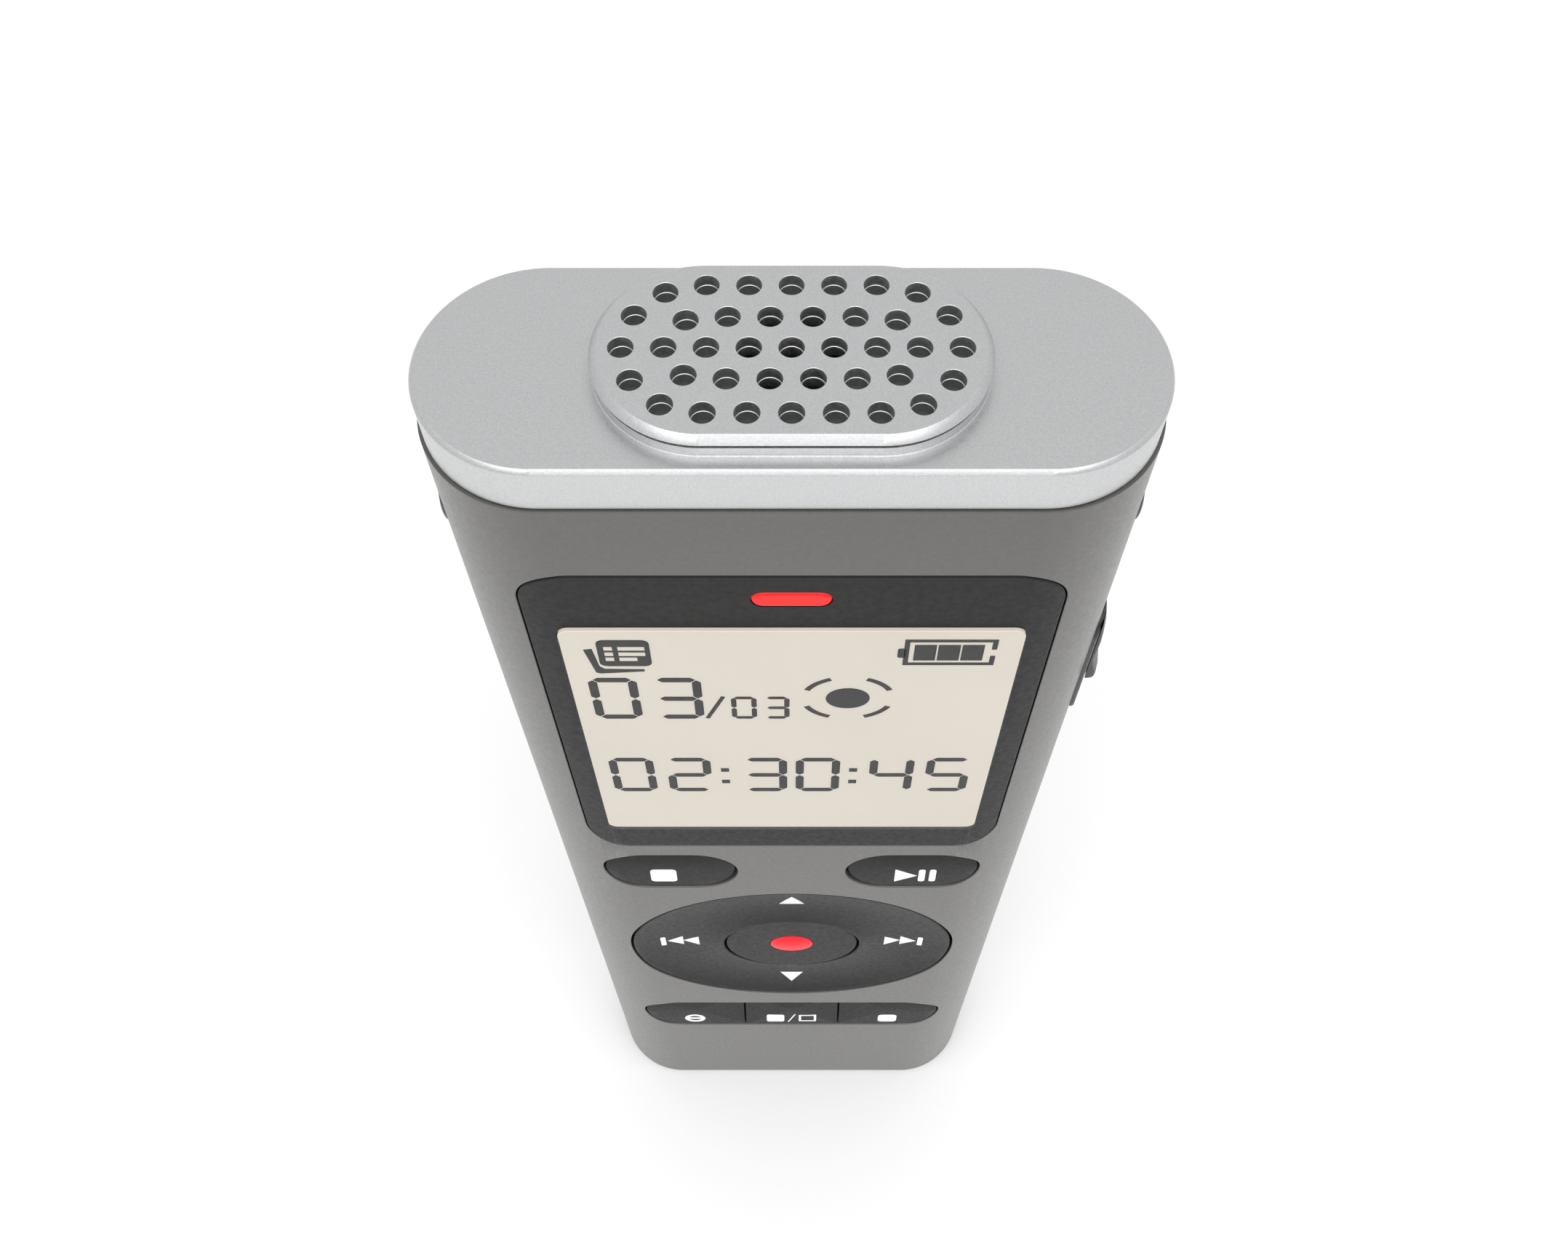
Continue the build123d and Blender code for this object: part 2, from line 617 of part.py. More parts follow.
def switch_slider():
    """Thumb piece with a step ridge, and its neck through the wall."""
    outer_x = BODY_W / 2
    inner_inset = -(SWITCH_PROUD + 0.06)
    top = SWITCH_TOP_Z - 0.35
    side_view = Polyline(
        (outer_x - 3, SLIDER_BOTTOM_Z),
        (outer_x + SLIDER_RIDGE - 0.03, SLIDER_BOTTOM_Z),
        (outer_x + SLIDER_RIDGE, SLIDER_BOTTOM_Z + 0.5),
        (outer_x + 0.55, SLIDER_BOTTOM_Z + 2.6),
        (outer_x + 0.62, SLIDER_BOTTOM_Z + 4.4),
        (outer_x + 0.5, top - 1.0),
        (outer_x + 0.36, top),
        (outer_x - 3, top),
        close=True,
    )
    profile = Plane(origin=(0, SLIDER_W / 2, 0), x_dir=(1, 0, 0), z_dir=(0, -1, 0)) * make_face(side_view)
    thumb = extrude(profile, SLIDER_W) - inset_body(inner_inset, 0, BODY_H)
    thumb = thumb & inset_body(-SLIDER_RIDGE, 0, BODY_H)
    half = SWITCH_SLOT_HALF_W - 0.1
    neck = block(INNER_SIDE_X - 0.55, outer_x + 0.5, -half, half, SWITCH_NECK_BOTTOM_Z, SWITCH_NECK_TOP_Z)
    return thumb + neck


def switch_body():
    return block(14.2, 17.2, BOARD_BACK_Y, 1.6, 87, 97)


def usb_socket():
    mouth_z = 0.3
    inner = USB_HALF_W - USB_SHEET
    tongue = USB_HALF_W - 0.8
    shell = block(-USB_HALF_W, USB_HALF_W, BOARD_BACK_Y, USB_BACK_Y, mouth_z, USB_TOP_Z)
    shell -= block(-inner, inner, BOARD_BACK_Y + USB_SHEET, USB_BACK_Y - USB_SHEET, 0, USB_TOP_Z - USB_SHEET)
    return shell + block(-tongue, tongue, -0.3, 0.2, mouth_z + 1.7, USB_TOP_Z - 0.2)


# ---- Board and what is on it -----------------------------------------------------
def main_board():
    board = block(-BOARD_HALF_W, BOARD_HALF_W, BOARD_FRONT_Y, BOARD_BACK_Y, BOARD_BOTTOM_Z, BOARD_WIDE_TOP_Z)
    half = JACK_INNER_X - 0.7
    board += block(-half, half, BOARD_FRONT_Y, BOARD_BACK_Y, BOARD_WIDE_TOP_Z, BOARD_TOP_Z)
    for x, z in SHELL_SCREW_PLACES:
        board -= disc_y(x, z, BOSS_R + 0.2, BOARD_FRONT_Y - 1, BOARD_BACK_Y + 1)
    return board


def chip(x, z, width, height, thick):
    lo, hi = BOARD_BACK_Y, BOARD_BACK_Y + thick
    return block(x - width / 2, x + width / 2, lo, hi, z - height / 2, z + height / 2)


def processor():
    return chip(-8.5, CHIP_ROW_Z, 8.0, 8.0, 0.9)


def flash_memory():
    return chip(7.5, CHIP_ROW_Z, 12.0, 8.5, 1.0)


def crystal():
    return chip(-1.6, CHIP_ROW_Z, 1.5, 3.2, 0.7)


def board_parts():
    """Small capacitors and resistors in two rows under the battery's upper end."""
    parts = []
    for row, z in enumerate((10.0, 12.2)):
        for column in range(6):
            x = -11.0 + 1.1 * row + 4.0 * column
            if abs(x) > 1.0:
                parts.append(chip(x, z, 1.0, 0.6, 0.5))
    return Compound(children=parts)


def battery_cell():
    outline = RectangleRounded(BATTERY_W, BATTERY_H, 1.0)
    pouch = facing(outline, 0, BATTERY_Z, BATTERY_FRONT_Y, BATTERY_BACK_Y)
    return fillet(pouch.edges().filter_by(Axis.X), 0.6)


def battery_connector():
    return block(-14.4, -10.6, BOARD_BACK_Y, 0.6, 10.6, 13.6) & inset_body(WALL, 0, BODY_H)


def speaker():
    basket = disc_y(0, SPEAKER_Z, SPEAKER_R, SPEAKER_FRONT_Y, SPEAKER_BACK_Y)
    return basket - disc_y(0, SPEAKER_Z, SPEAKER_R - 1.2, SPEAKER_BACK_Y - 0.4, BODY_D)


def speaker_cloth():
    return disc_y(0, SPEAKER_Z, SPEAKER_R, SPEAKER_BACK_Y + 0.05, INNER_BACK_Y)


# ---- Everything, one file per piece ---------------------------------------------
NODES = {
    "front_shell": front_shell,
    "rear_shell": rear_shell,
    "shell_screws": shell_screws,
    "top_cap": top_cap,
    "cap_seal": cap_seal,
    "cap_screws": cap_screws,
    "grille_base": grille_base,
    "grille_plate": grille_plate,
    "mic_foam": mic_foam,
    "mic_capsule": mic_capsule,
    "mic_boot": mic_boot,
    "display_bezel": display_bezel,
    "display_window": display_window,
    "lcd_glass": lcd_glass,
    "lcd_reflector": lcd_reflector,
    "lcd_frame": lcd_frame,
    "record_lamp_lens": record_lamp_lens,
    "record_lamp": record_lamp,
    "stop_key": lambda: upper_key(-1),
    "play_key": lambda: upper_key(1),
    "nav_ring": nav_ring,
    "nav_pivot": nav_pivot,
    "record_key": record_key,
    "record_dot": record_dot,
    "left_key": lambda: lower_key(-1),
    "middle_key": lambda: lower_key(0),
    "right_key": lambda: lower_key(1),
    "keypad_mat": keypad_mat,
    "dome_switches": dome_switches,
    "headphone_collar": lambda: socket_collar(-1),
    "mic_collar": lambda: socket_collar(1),
    "headphone_jack": lambda: jack_socket(-1),
    "mic_jack": lambda: jack_socket(1),
    "switch_surround": switch_surround,
    "switch_slider": switch_slider,
    "switch_body": switch_body,
    "usb_socket": usb_socket,
    "main_board": main_board,
    "processor": processor,
    "flash_memory": flash_memory,
    "crystal": crystal,
    "board_parts": board_parts,
    "battery_cell": battery_cell,
    "battery_connector": battery_connector,
    "speaker": speaker,
    "speaker_cloth": speaker_cloth,
}

os.makedirs("parts", exist_ok=True)
for name, make in NODES.items():
    export_step(make(), f"parts/{name}.step")
    print(name)
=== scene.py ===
"""Looks of a slim hand-held voice recorder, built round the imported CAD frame."""
import json
from math import cos, pi, radians, sin, sqrt, tan

import bmesh
import bpy
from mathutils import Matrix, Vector


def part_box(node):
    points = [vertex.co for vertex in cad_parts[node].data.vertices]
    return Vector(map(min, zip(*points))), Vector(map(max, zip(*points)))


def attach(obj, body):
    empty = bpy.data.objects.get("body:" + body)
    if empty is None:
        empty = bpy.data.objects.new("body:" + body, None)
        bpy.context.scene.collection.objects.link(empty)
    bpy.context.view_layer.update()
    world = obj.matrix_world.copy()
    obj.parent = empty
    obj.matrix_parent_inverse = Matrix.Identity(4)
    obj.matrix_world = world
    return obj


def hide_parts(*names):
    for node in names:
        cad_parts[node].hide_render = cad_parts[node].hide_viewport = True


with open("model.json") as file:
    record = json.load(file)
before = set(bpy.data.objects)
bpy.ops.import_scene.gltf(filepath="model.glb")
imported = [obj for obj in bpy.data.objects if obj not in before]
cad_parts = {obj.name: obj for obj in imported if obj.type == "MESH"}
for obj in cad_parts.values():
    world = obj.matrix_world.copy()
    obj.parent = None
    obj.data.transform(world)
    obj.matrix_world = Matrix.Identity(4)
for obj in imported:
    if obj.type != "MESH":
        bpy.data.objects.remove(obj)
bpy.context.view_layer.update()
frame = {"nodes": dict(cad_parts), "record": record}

MM = 0.001
FAR = 40.0  # past every side of the object, for cutters

# ---- Sizes taken from the frame, in millimetres ----


def mm_box(*nodes):
    """Lowest and highest corner of some CAD nodes together, in millimetres."""
    boxes = [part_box(node) for node in nodes]
    low = [min(box[0][i] for box in boxes) / MM for i in range(3)]
    high = [max(box[1][i] for box in boxes) / MM for i in range(3)]
    return low, high


def middle(low, high):
    return [(a + b) / 2 for a, b in zip(low, high)]


BODY_LOW, BODY_HIGH = mm_box("front_shell", "rear_shell")
BODY_R = BODY_HIGH[1]
SIDE_AXIS_X = BODY_HIGH[0] - BODY_R
BODY_H = BODY_HIGH[2]
FRONT_Y = BODY_LOW[1]
PART_LINE_Y = mm_box("front_shell")[1][1]
REAR_FRONT_Y = mm_box("rear_shell")[0][1]
WALL = 1.3
END_WALL = 1.5
FOOT_ROUND = 0.8
EDGE = 0.12

CAP_LOW, CAP_HIGH = mm_box("top_cap")
CAP_R = CAP_HIGH[1]
CAP_AXIS_X = CAP_HIGH[0] - CAP_R
CAP_BEVEL = 0.22
PORT_R = 2.95

BASE_LOW, BASE_HIGH = mm_box("grille_base")
PLATE_LOW, PLATE_HIGH = mm_box("grille_plate")
GRILLE_R = BASE_HIGH[1]
GRILLE_AXIS_X = BASE_HIGH[0] - GRILLE_R
NECK_INSET = 0.42
NECK_TOP = PLATE_LOW[2] + 0.25
PLATE_CHAMFER = 0.39
HOLE_PITCH = 2.09
HOLE_R = 0.64
HOLE_ROUND = 0.045
INNER_RING_R = 0.926 * HOLE_PITCH
OUTER_RING_R = 1.905 * HOLE_PITCH

BEZEL_LOW, BEZEL_HIGH = mm_box("display_bezel")
BEZEL_CORNER = 3.2
BEZEL_T = 0.8
SCREEN_LOW, SCREEN_HIGH = mm_box("display_window")
LCD_LOW, LCD_HIGH = mm_box("lcd_glass")
SCREEN_CORNER = 0.7
LAMP_LOW, LAMP_HIGH = mm_box("record_lamp_lens")

# A key face starts just under the surface at its foot and leans back by KEY_LEAN per
# millimetre. Near its top it falls away faster, by a power of KEY_CURVE.
KEY_GAP = 0.15
KEY_ROUND = 0.16
KEY_FOOT_RECESS = 0.06
KEY_TOP_RECESS = 1.5
KEY_LEAN = 0.068
KEY_CURVE = 4
KEY_SKIN = 0.05
FLANGE_FRONT_Y = -5.3
FLANGE_BACK_Y = -4.8
FLANGE_REACH = 0.6
STEM_R = 1.2
STEM_END_Y = mm_box("stop_key")[1][1]
UPPER_SLOT = (10.45, 7.0)
UPPER_KEY_X = middle(*mm_box("play_key"))[0]
UPPER_KEY_Z = middle(*mm_box("play_key"))[2]
LOWER_SLOT = (29.7, 8.1)
LOWER_SLOT_Z = middle(*mm_box("middle_key"))[2]
LOWER_SPLIT_X = 4.75
LOWER_GAP = 0.1
LOWER_STEM_X = 9.0

DOT_LOW, DOT_HIGH = mm_box("record_dot")
DOT_R = DOT_HIGH[0]
DOT_DOME = 0.3
NAV_Z = middle(DOT_LOW, DOT_HIGH)[2]
NAV_R = mm_box("nav_ring")[1][0]
NAV_OPENING_R = NAV_R + 0.2
NAV_INNER_R = 6.0
NAV_BACK_Y = -5.15
NAV_DISH = 0.72
NAV_OUTER_RECESS = 0.05
NAV_INNER_RECESS = 0.3
NAV_SKIN = 0.04
NAV_STEM_R = 0.9
NAV_STEM_AT = 10.2
RECORD_R = 5.85
RECORD_RECESS = 0.41
RECORD_TILT = 1.9
RECORD_FLANGE_Y = (-4.95, -4.65)
DOT_SEAT = 0.45

COLLAR_LOW, COLLAR_HIGH = mm_box("mic_collar")
JACK_Z = middle(COLLAR_LOW, COLLAR_HIGH)[2]
COLLAR_R = (COLLAR_HIGH[2] - COLLAR_LOW[2]) / 2
JACK_BORE_R = 1.8

SURROUND_LOW, SURROUND_HIGH = mm_box("switch_surround")
SURROUND_PROUD = SURROUND_HIGH[0] - BODY_HIGH[0]
SLIDER_LOW, SLIDER_HIGH = mm_box("switch_slider")
SWITCH_SLOT_Z = (89.7, 95.6)
SWITCH_NECK_Z = (93.0, 95.4)

SCREW_PLACES = [(x, z) for z in (6.2, 113.2) for x in (-10.0, 10.0)]
SCREW_HEAD_R = 1.45
SCREW_SEAT_Y = 4.3
SPEAKER_Z = 88.0
SPEAKER_FIELD_R = 6.6
SPEAKER_ROWS = 7
SPEAKER_PITCH = 1.7
SPEAKER_SLOT_W = 0.8

MARK_ROOT = 0.06  # how far printed marks reach under the surface that they lie on
SCREEN_SHIFT = (-0.18, 0.0)
DIGIT_H = 5.45
DIGIT_STROKE = 0.54
COUNTER_Z = 93.24
TIME_Z = 81.92

# The camera as solved from the photograph, in metres and degrees
CAMERA_LENS = 34.92
CAMERA_SHIFT_X = -0.00487
CAMERA_Y = -0.048331
CAMERA_ABOVE_CAP = 0.059224
CAMERA_TILT = 29.41

# Sockets of a ShaderNodeMix for colours, which share their names with other types
COLOUR_A, COLOUR_B, COLOUR_RESULT = 6, 7, 2
NUMBER_A, NUMBER_B, NUMBER_RESULT = 2, 3, 0


# ---- Node materials ----
class Paint:
    """A Principled material and short calls that add nodes to it."""

    def __init__(self, name, color, roughness, metallic=0.0, **sockets):
        self.material = bpy.data.materials.new(name)
        self.material.use_nodes = True
        self.tree = self.material.node_tree
        self.shader = self.tree.nodes["Principled BSDF"]
        self.shader.inputs["Base Color"].default_value = (*color, 1)
        self.shader.inputs["Roughness"].default_value = roughness
        self.shader.inputs["Metallic"].default_value = metallic
        for socket, value in sockets.items():
            self.shader.inputs[socket.replace("_", " ")].default_value = value
        self.place = self.node("ShaderNodeTexCoord").outputs["Object"]

    def node(self, kind, **values):
        made = self.tree.nodes.new(kind)
        for name, value in values.items():
            setattr(made, name, value)
        return made

    def link(self, start, end):
        self.tree.links.new(start, end)

    def noise(self, per_mm, detail=2.0, roughness=0.5, stretch=(1, 1, 1)):
        """Noise whose grain is counted per millimetre of the object."""
        mapping = self.node("ShaderNodeMapping")
        mapping.inputs["Scale"].default_value = [per_mm / MM * s for s in stretch]
        self.link(self.place, mapping.inputs["Vector"])
        noise = self.node("ShaderNodeTexNoise")
        noise.inputs["Scale"].default_value = 1.0
        noise.inputs["Detail"].default_value = detail
        noise.inputs["Roughness"].default_value = roughness
        self.link(mapping.outputs["Vector"], noise.inputs["Vector"])
        return noise.outputs["Fac"]

    def cells(self, per_mm):
        """A random value for each small cell, as flakes in a paint have."""
        mapping = self.node("ShaderNodeMapping")
        mapping.inputs["Scale"].default_value = [per_mm / MM] * 3
        self.link(self.place, mapping.inputs["Vector"])
        voronoi = self.node("ShaderNodeTexVoronoi")
        voronoi.inputs["Scale"].default_value = 1.0
        self.link(mapping.outputs["Vector"], voronoi.inputs["Vector"])
        return voronoi.outputs["Color"]

    def spread(self, value, low, high, from_low=0.3, from_high=0.7):
        """Stretches a value's usual range to the range from low to high."""
        ramp = self.node("ShaderNodeMapRange")
        ramp.inputs["From Min"].default_value = from_low
        ramp.inputs["From Max"].default_value = from_high
        ramp.inputs["To Min"].default_value = low
        ramp.inputs["To Max"].default_value = high
        self.link(value, ramp.inputs["Value"])
        return ramp.outputs["Result"]

    def tint(self, value, dark, light):
        """Base colour between two colours, by a value from 0 to 1."""
        mix = self.node("ShaderNodeMix", data_type="RGBA")
        self.link(value, mix.inputs["Factor"])
        mix.inputs[COLOUR_A].default_value = (*dark, 1)
        mix.inputs[COLOUR_B].default_value = (*light, 1)
        self.link(mix.outputs[COLOUR_RESULT], self.shader.inputs["Base Color"])

    def rough(self, value):
        self.link(value, self.shader.inputs["Roughness"])

    def bump(self, value, height_mm, strength=1.0):
        bump = self.node("ShaderNodeBump")
        bump.inputs["Strength"].default_value = strength
        bump.inputs["Distance"].default_value = height_mm * MM
        self.link(value, bump.inputs["Height"])
        self.link(bump.outputs["Normal"], self.shader.inputs["Normal"])

    def blended(self, first, second, first_part):
        """A mean of two values, with first_part of the first one."""
        mix = self.node("ShaderNodeMix", data_type="FLOAT")
        mix.inputs["Factor"].default_value = 1 - first_part
        self.link(first, mix.inputs[NUMBER_A])
        self.link(second, mix.inputs[NUMBER_B])
        return mix.outputs[NUMBER_RESULT]


def shade(color, factor):
    """A colour made lighter or darker."""
    return tuple(channel * factor for channel in color)


def body_paint():
    color = (0.079, 0.0765, 0.0695)
    paint = Paint("body_paint", color, 0.42, metallic=0.15, Coat_Weight=0.5, Coat_Roughness=0.3)
    flakes = paint.cells(11.0)
    cloud = paint.noise(0.05, 2)
    paint.tint(paint.blended(flakes, cloud, 0.55), shade(color, 0.84), shade(color, 1.17))
    paint.rough(paint.spread(paint.noise(3.0, 3), 0.38, 0.5))
    paint.bump(paint.noise(7.0, 3, 0.6), 0.004, 0.35)
    return paint.material


def cap_metal():
    color = (0.60, 0.605, 0.61)
    paint = Paint("cap_aluminium", color, 0.4, metallic=1.0)
    grain = paint.noise(9.0, 4, 0.65)
    paint.tint(paint.spread(grain, 0, 1), shade(color, 0.9), shade(color, 1.08))
    paint.rough(paint.spread(paint.noise(4.0, 3), 0.34, 0.47))
    paint.bump(grain, 0.012, 0.45)
    return paint.material


def fine_plastic(name, color, roughness, grain=8.0, height=0.006, gloss=0.5):
    """Moulded plastic with a fine matt grain and a slow change of tone."""
    paint = Paint(name, color, roughness, Specular_IOR_Level=gloss)
    slow = paint.noise(0.09, 2)
    paint.tint(paint.spread(slow, 0, 1), shade(color, 0.93), shade(color, 1.07))
    paint.rough(paint.spread(paint.noise(2.5, 3), roughness - 0.05, roughness + 0.06))
    paint.bump(paint.noise(grain, 3, 0.6), height, 0.4)
    return paint.material


def key_plastic():
    return fine_plastic("key_charcoal", (0.0085, 0.0084, 0.0082), 0.44, gloss=0.22)


def bezel_plastic():
    return fine_plastic("bezel_black", (0.0075, 0.0074, 0.0072), 0.48, 10.0, 0.008, 0.22)


def socket_plastic():
    return fine_plastic("socket_black", (0.022, 0.022, 0.023), 0.38, 6.0, 0.005)


# Black rubber for the seal under the cap. Its black also stands in for the shade in the thin gap between cap
# and body, so it is partly painted shade.
def seal_and_gap_shade():
    return fine_plastic("black_seal", (0.012, 0.012, 0.012), 0.7, 5.0, 0.01)


def mat_rubber():
    return fine_plastic("mat_rubber", (0.25, 0.25, 0.26), 0.6, 3.0, 0.006)


def chip_plastic():
    return fine_plastic("chip_black", (0.02, 0.02, 0.02), 0.55, 14.0, 0.006)


def lcd_cell():
    color = (0.725, 0.665, 0.575)
    paint = Paint("lcd_cell", color, 0.35)
    paint.tint(paint.spread(paint.noise(0.06, 2), 0, 1), shade(color, 0.975), shade(color, 1.02))
    paint.rough(paint.spread(paint.noise(6.0, 2), 0.3, 0.42))
    paint.bump(paint.noise(14.0, 2), 0.002, 0.25)
    return paint.material


def lcd_ink():
    color = (0.014, 0.014, 0.013)
    paint = Paint("lcd_ink", color, 0.5, Specular_IOR_Level=0.2)
    paint.tint(paint.spread(paint.noise(0.5, 2), 0, 1), shade(color, 0.85), shade(color, 1.2))
    return paint.material


def white_print():
    color = (0.93, 0.93, 0.92)
    paint = Paint("white_print", color, 0.45)
    paint.tint(paint.spread(paint.noise(3.0, 3), 0, 1), shade(color, 0.97), shade(color, 1.02))
    paint.bump(paint.noise(10.0, 2), 0.004, 0.3)
    return paint.material


def clear_window():
    paint = Paint("window_clear", (0.3, 0.3, 0.3), 0.07, Alpha=0.05)
    paint.rough(paint.spread(paint.noise(0.4, 2), 0.05, 0.1))
    return paint.material


def lamp_red():
    color = (0.9, 0.006, 0.005)
    glow = (1.0, 0.03, 0.027, 1)
    paint = Paint("lamp_red", color, 0.3, Specular_IOR_Level=0.15,
                  Emission_Color=glow, Emission_Strength=0.6)
    paint.tint(paint.spread(paint.noise(0.8, 2), 0, 1), shade(color, 0.94), color)
    paint.bump(paint.noise(1.5, 2), 0.01, 0.2)
    return paint.material


def dot_red():
    color = (0.9, 0.004, 0.02)
    paint = Paint("dot_red", color, 0.3, Specular_IOR_Level=0.18)
    paint.tint(paint.spread(paint.noise(1.2, 2), 0, 1), shade(color, 0.93), shade(color, 1.05))
    paint.bump(paint.noise(2.0, 2), 0.004, 0.15)
    return paint.material


def metal(name, color, roughness, stretch=(1, 1, 1), grain=4.0):
    paint = Paint(name, color, roughness, metallic=1.0)
    lines = paint.noise(grain, 4, 0.6, stretch)
    paint.tint(paint.spread(lines, 0, 1), shade(color, 0.88), shade(color, 1.06))
    paint.rough(paint.spread(lines, roughness - 0.06, roughness + 0.1))
    paint.bump(lines, 0.006, 0.35)
    return paint.material


def board_mask():
    """Green solder mask over a faint pattern of copper tracks."""
    color = (0.012, 0.115, 0.05)
    paint = Paint("board_green", color, 0.32, Coat_Weight=0.3)
    wave = paint.node("ShaderNodeTexWave", wave_type="BANDS", bands_direction="X")
    wave.inputs["Scale"].default_value = 260.0
    wave.inputs["Distortion"].default_value = 2.0
    paint.link(paint.place, wave.inputs["Vector"])
    paint.tint(paint.spread(wave.outputs["Fac"], 0, 1, 0.6, 0.8), color, shade(color, 1.5))
    paint.bump(wave.outputs["Fac"], 0.02, 0.3)
    return paint.material


MATERIALS = {
    "body_paint": body_paint(),
    "cap_aluminium": cap_metal(),
    "black_seal": seal_and_gap_shade(),
    "steel": metal("steel", (0.56, 0.56, 0.57), 0.3),
    "bezel_black": bezel_plastic(),
    "window_clear": clear_window(),
    "lcd_cell": lcd_cell(),
    "lcd_white": fine_plastic("lcd_white", (0.8, 0.8, 0.78), 0.4),
    "lamp_red": lamp_red(),
    "dot_red": dot_red(),
    "key_charcoal": key_plastic(),
    "mat_rubber": mat_rubber(),
    "socket_black": socket_plastic(),
    "washer_steel": metal("washer_steel", (0.5, 0.5, 0.5), 0.35, (1, 1, 6)),
    "board_green": board_mask(),
    "chip_black": chip_plastic(),
    "lamp_led": fine_plastic("lamp_led", (0.85, 0.8, 0.62), 0.3),
    "cell_foil": metal("cell_foil", (0.62, 0.62, 0.64), 0.36, (1, 1, 0.2), 1.5),
}
INK = lcd_ink()
PRINT = white_print()
# painted shade: the dark colour of the sheet that lies under the grille's blind holes
HOLE_SHADE = fine_plastic("painted_hole_shade", (0.07, 0.072, 0.07), 0.6, 3.0, 0.03, 0.3)


# ---- Outlines: chains of arcs that can be moved in or out ----
def arc(cx, cy, radius, start, turn, steps):
    return (cx, cy, radius, radians(start), radians(turn), steps)


def circle(cx, cy, radius, steps=160):
    return [arc(cx, cy, radius, 0, 360 * (1 - 1 / steps), steps)]


def capsule(cx, cy, width, height, steps=48):
    """Slot with full round ends, lying along its first axis."""
    radius = height / 2
    reach = width / 2 - radius
    right = arc(cx + reach, cy, radius, -90, 180, steps)
    left = arc(cx - reach, cy, radius, 90, 180, steps)
    return [right, left]


def rounded(low_x, high_x, low_y, high_y, corner, steps=12):
    """Rectangle with round corners, starting at its lower right."""
    places = [(high_x, low_y, -90), (high_x, high_y, 0), (low_x, high_y, 90), (low_x, low_y, 180)]
    chain = []
    for x, y, start in places:
        cx = x - corner if x == high_x else x + corner
        cy = y - corner if y == high_y else y + corner
        chain.append(arc(cx, cy, corner, start, 90, steps))
    return chain


def grown(chain, grow):
    return [(cx, cy, radius + grow, start, turn, steps) for cx, cy, radius, start, turn, steps in chain]


def trace(chain, grow=0.0):
    """Points along a chain of arcs whose radii grow or shrink."""
    points = []
    for cx, cy, radius, start, turn, steps in chain:
        for step in range(steps):
            angle = start + turn * step / (steps - 1)
            points.append((cx + (radius + grow) * cos(angle), cy + (radius + grow) * sin(angle)))
    return points


def skin_y(x, inset=0.0):
    """Y of the casing's front surface at x, moved in by inset."""
    past = abs(x) - SIDE_AXIS_X
    radius = BODY_R - inset
    if past <= 0:
        return -radius
    return -sqrt(max(radius ** 2 - past ** 2, 0.0))


def quarter(radius, steps=4):
    """(sideways, deep) steps of a quarter round, from the surface down to the wall."""
    angles = (pi / 2 * i / steps for i in range(steps + 1))
    return [(radius * (1 - sin(a)), radius * (1 - cos(a))) for a in angles]


# ---- Meshes ----
def mesh_object(name, points, faces):
    mesh = bpy.data.meshes.new(name)
    mesh.from_pydata([tuple(value * MM for value in point) for point in points], [], faces)
    obj = bpy.data.objects.new(name, mesh)
    bpy.context.scene.collection.objects.link(obj)
    outward(obj)
    return obj


def outward(obj):
    edit = bmesh.new()
    edit.from_mesh(obj.data)
    bmesh.ops.recalc_face_normals(edit, faces=edit.faces)
    edit.to_mesh(obj.data)
    edit.free()


def loft(name, rings, closed=False):
    """Skin through rings of equally many points, with capped ends unless it closes on itself."""
    count = len(rings[0])
    points = [point for ring in rings for point in ring]
    faces = []
    spans = len(rings) if closed else len(rings) - 1
    for level in range(spans):
        here, there = level * count, (level + 1) % len(rings) * count
        for i in range(count):
            j = (i + 1) % count
            faces.append((here + i, here + j, there + j, there + i))
    if not closed:
        faces.append(tuple(range(count)))
        faces.append(tuple(range((len(rings) - 1) * count, len(rings) * count)))
    return mesh_object(name, points, faces)


def upright(name, chain, levels):
    """Solid standing on its outline: levels are (grow, z)."""
    return loft(name, [[(x, y, z) for x, y in trace(chain, grow)] for grow, z in levels])


def front_solid(name, chain, levels, back_y):
    """Solid facing -Y whose side follows the casing's curve: levels are (grow, depth under the surface)."""
    rings = [[(x, FRONT_Y - 1, z) for x, z in trace(chain, levels[0][0])]]
    for grow, depth in levels:
        rings.append([(x, skin_y(x) + depth, z) for x, z in trace(chain, grow)])
    rings.append([(x, back_y, z) for x, z in trace(chain, levels[-1][0])])
    return loft(name, rings)


def front_cut(name, chain, back_y, round_r=EDGE):
    """Cutter for an opening in the front, with a rounded mouth."""
    levels = quarter(round_r) if round_r else [(0.0, 0.0)]
    return front_solid(name, chain, levels, back_y)


def stadium(radius, axis_x, steps=96):
    """The casing's plan outline: two half circles joined by straight sides."""
    return [arc(axis_x, 0, radius, -90, 180, steps), arc(-axis_x, 0, radius, 90, 180, steps)]


def turned(name, profile, steps, place, closed=False):
    """Solid turned about an axis: profile is (radius, along), and place makes a point of a turn's step."""
    rings = []
    for radius, along in profile:
        angles = (2 * pi * i / steps for i in range(steps))
        rings.append([place(radius * cos(a), radius * sin(a), along) for a in angles])
    return loft(name, rings, closed)


def lathe_x(name, y, z, profile, steps=96, closed=False):
    return turned(name, profile, steps, lambda across, up, x: (x, y + across, z + up), closed)


def lathe_y(name, x, z, profile, steps=128):
    return turned(name, profile, steps, lambda across, up, y: (x + across, y, z + up))


def lathe_z(name, x, y, profile, steps=48):
    return turned(name, profile, steps, lambda across, deep, z: (x + across, y + deep, z))


def slab(name, low, high):
    """Plain block, used only as a cutter."""
    corners = [(low[0], low[1]), (high[0], low[1]), (high[0], high[1]), (low[0], high[1])]
    return loft(name, [[(x, y, z) for x, y in corners] for z in (low[2], high[2])])


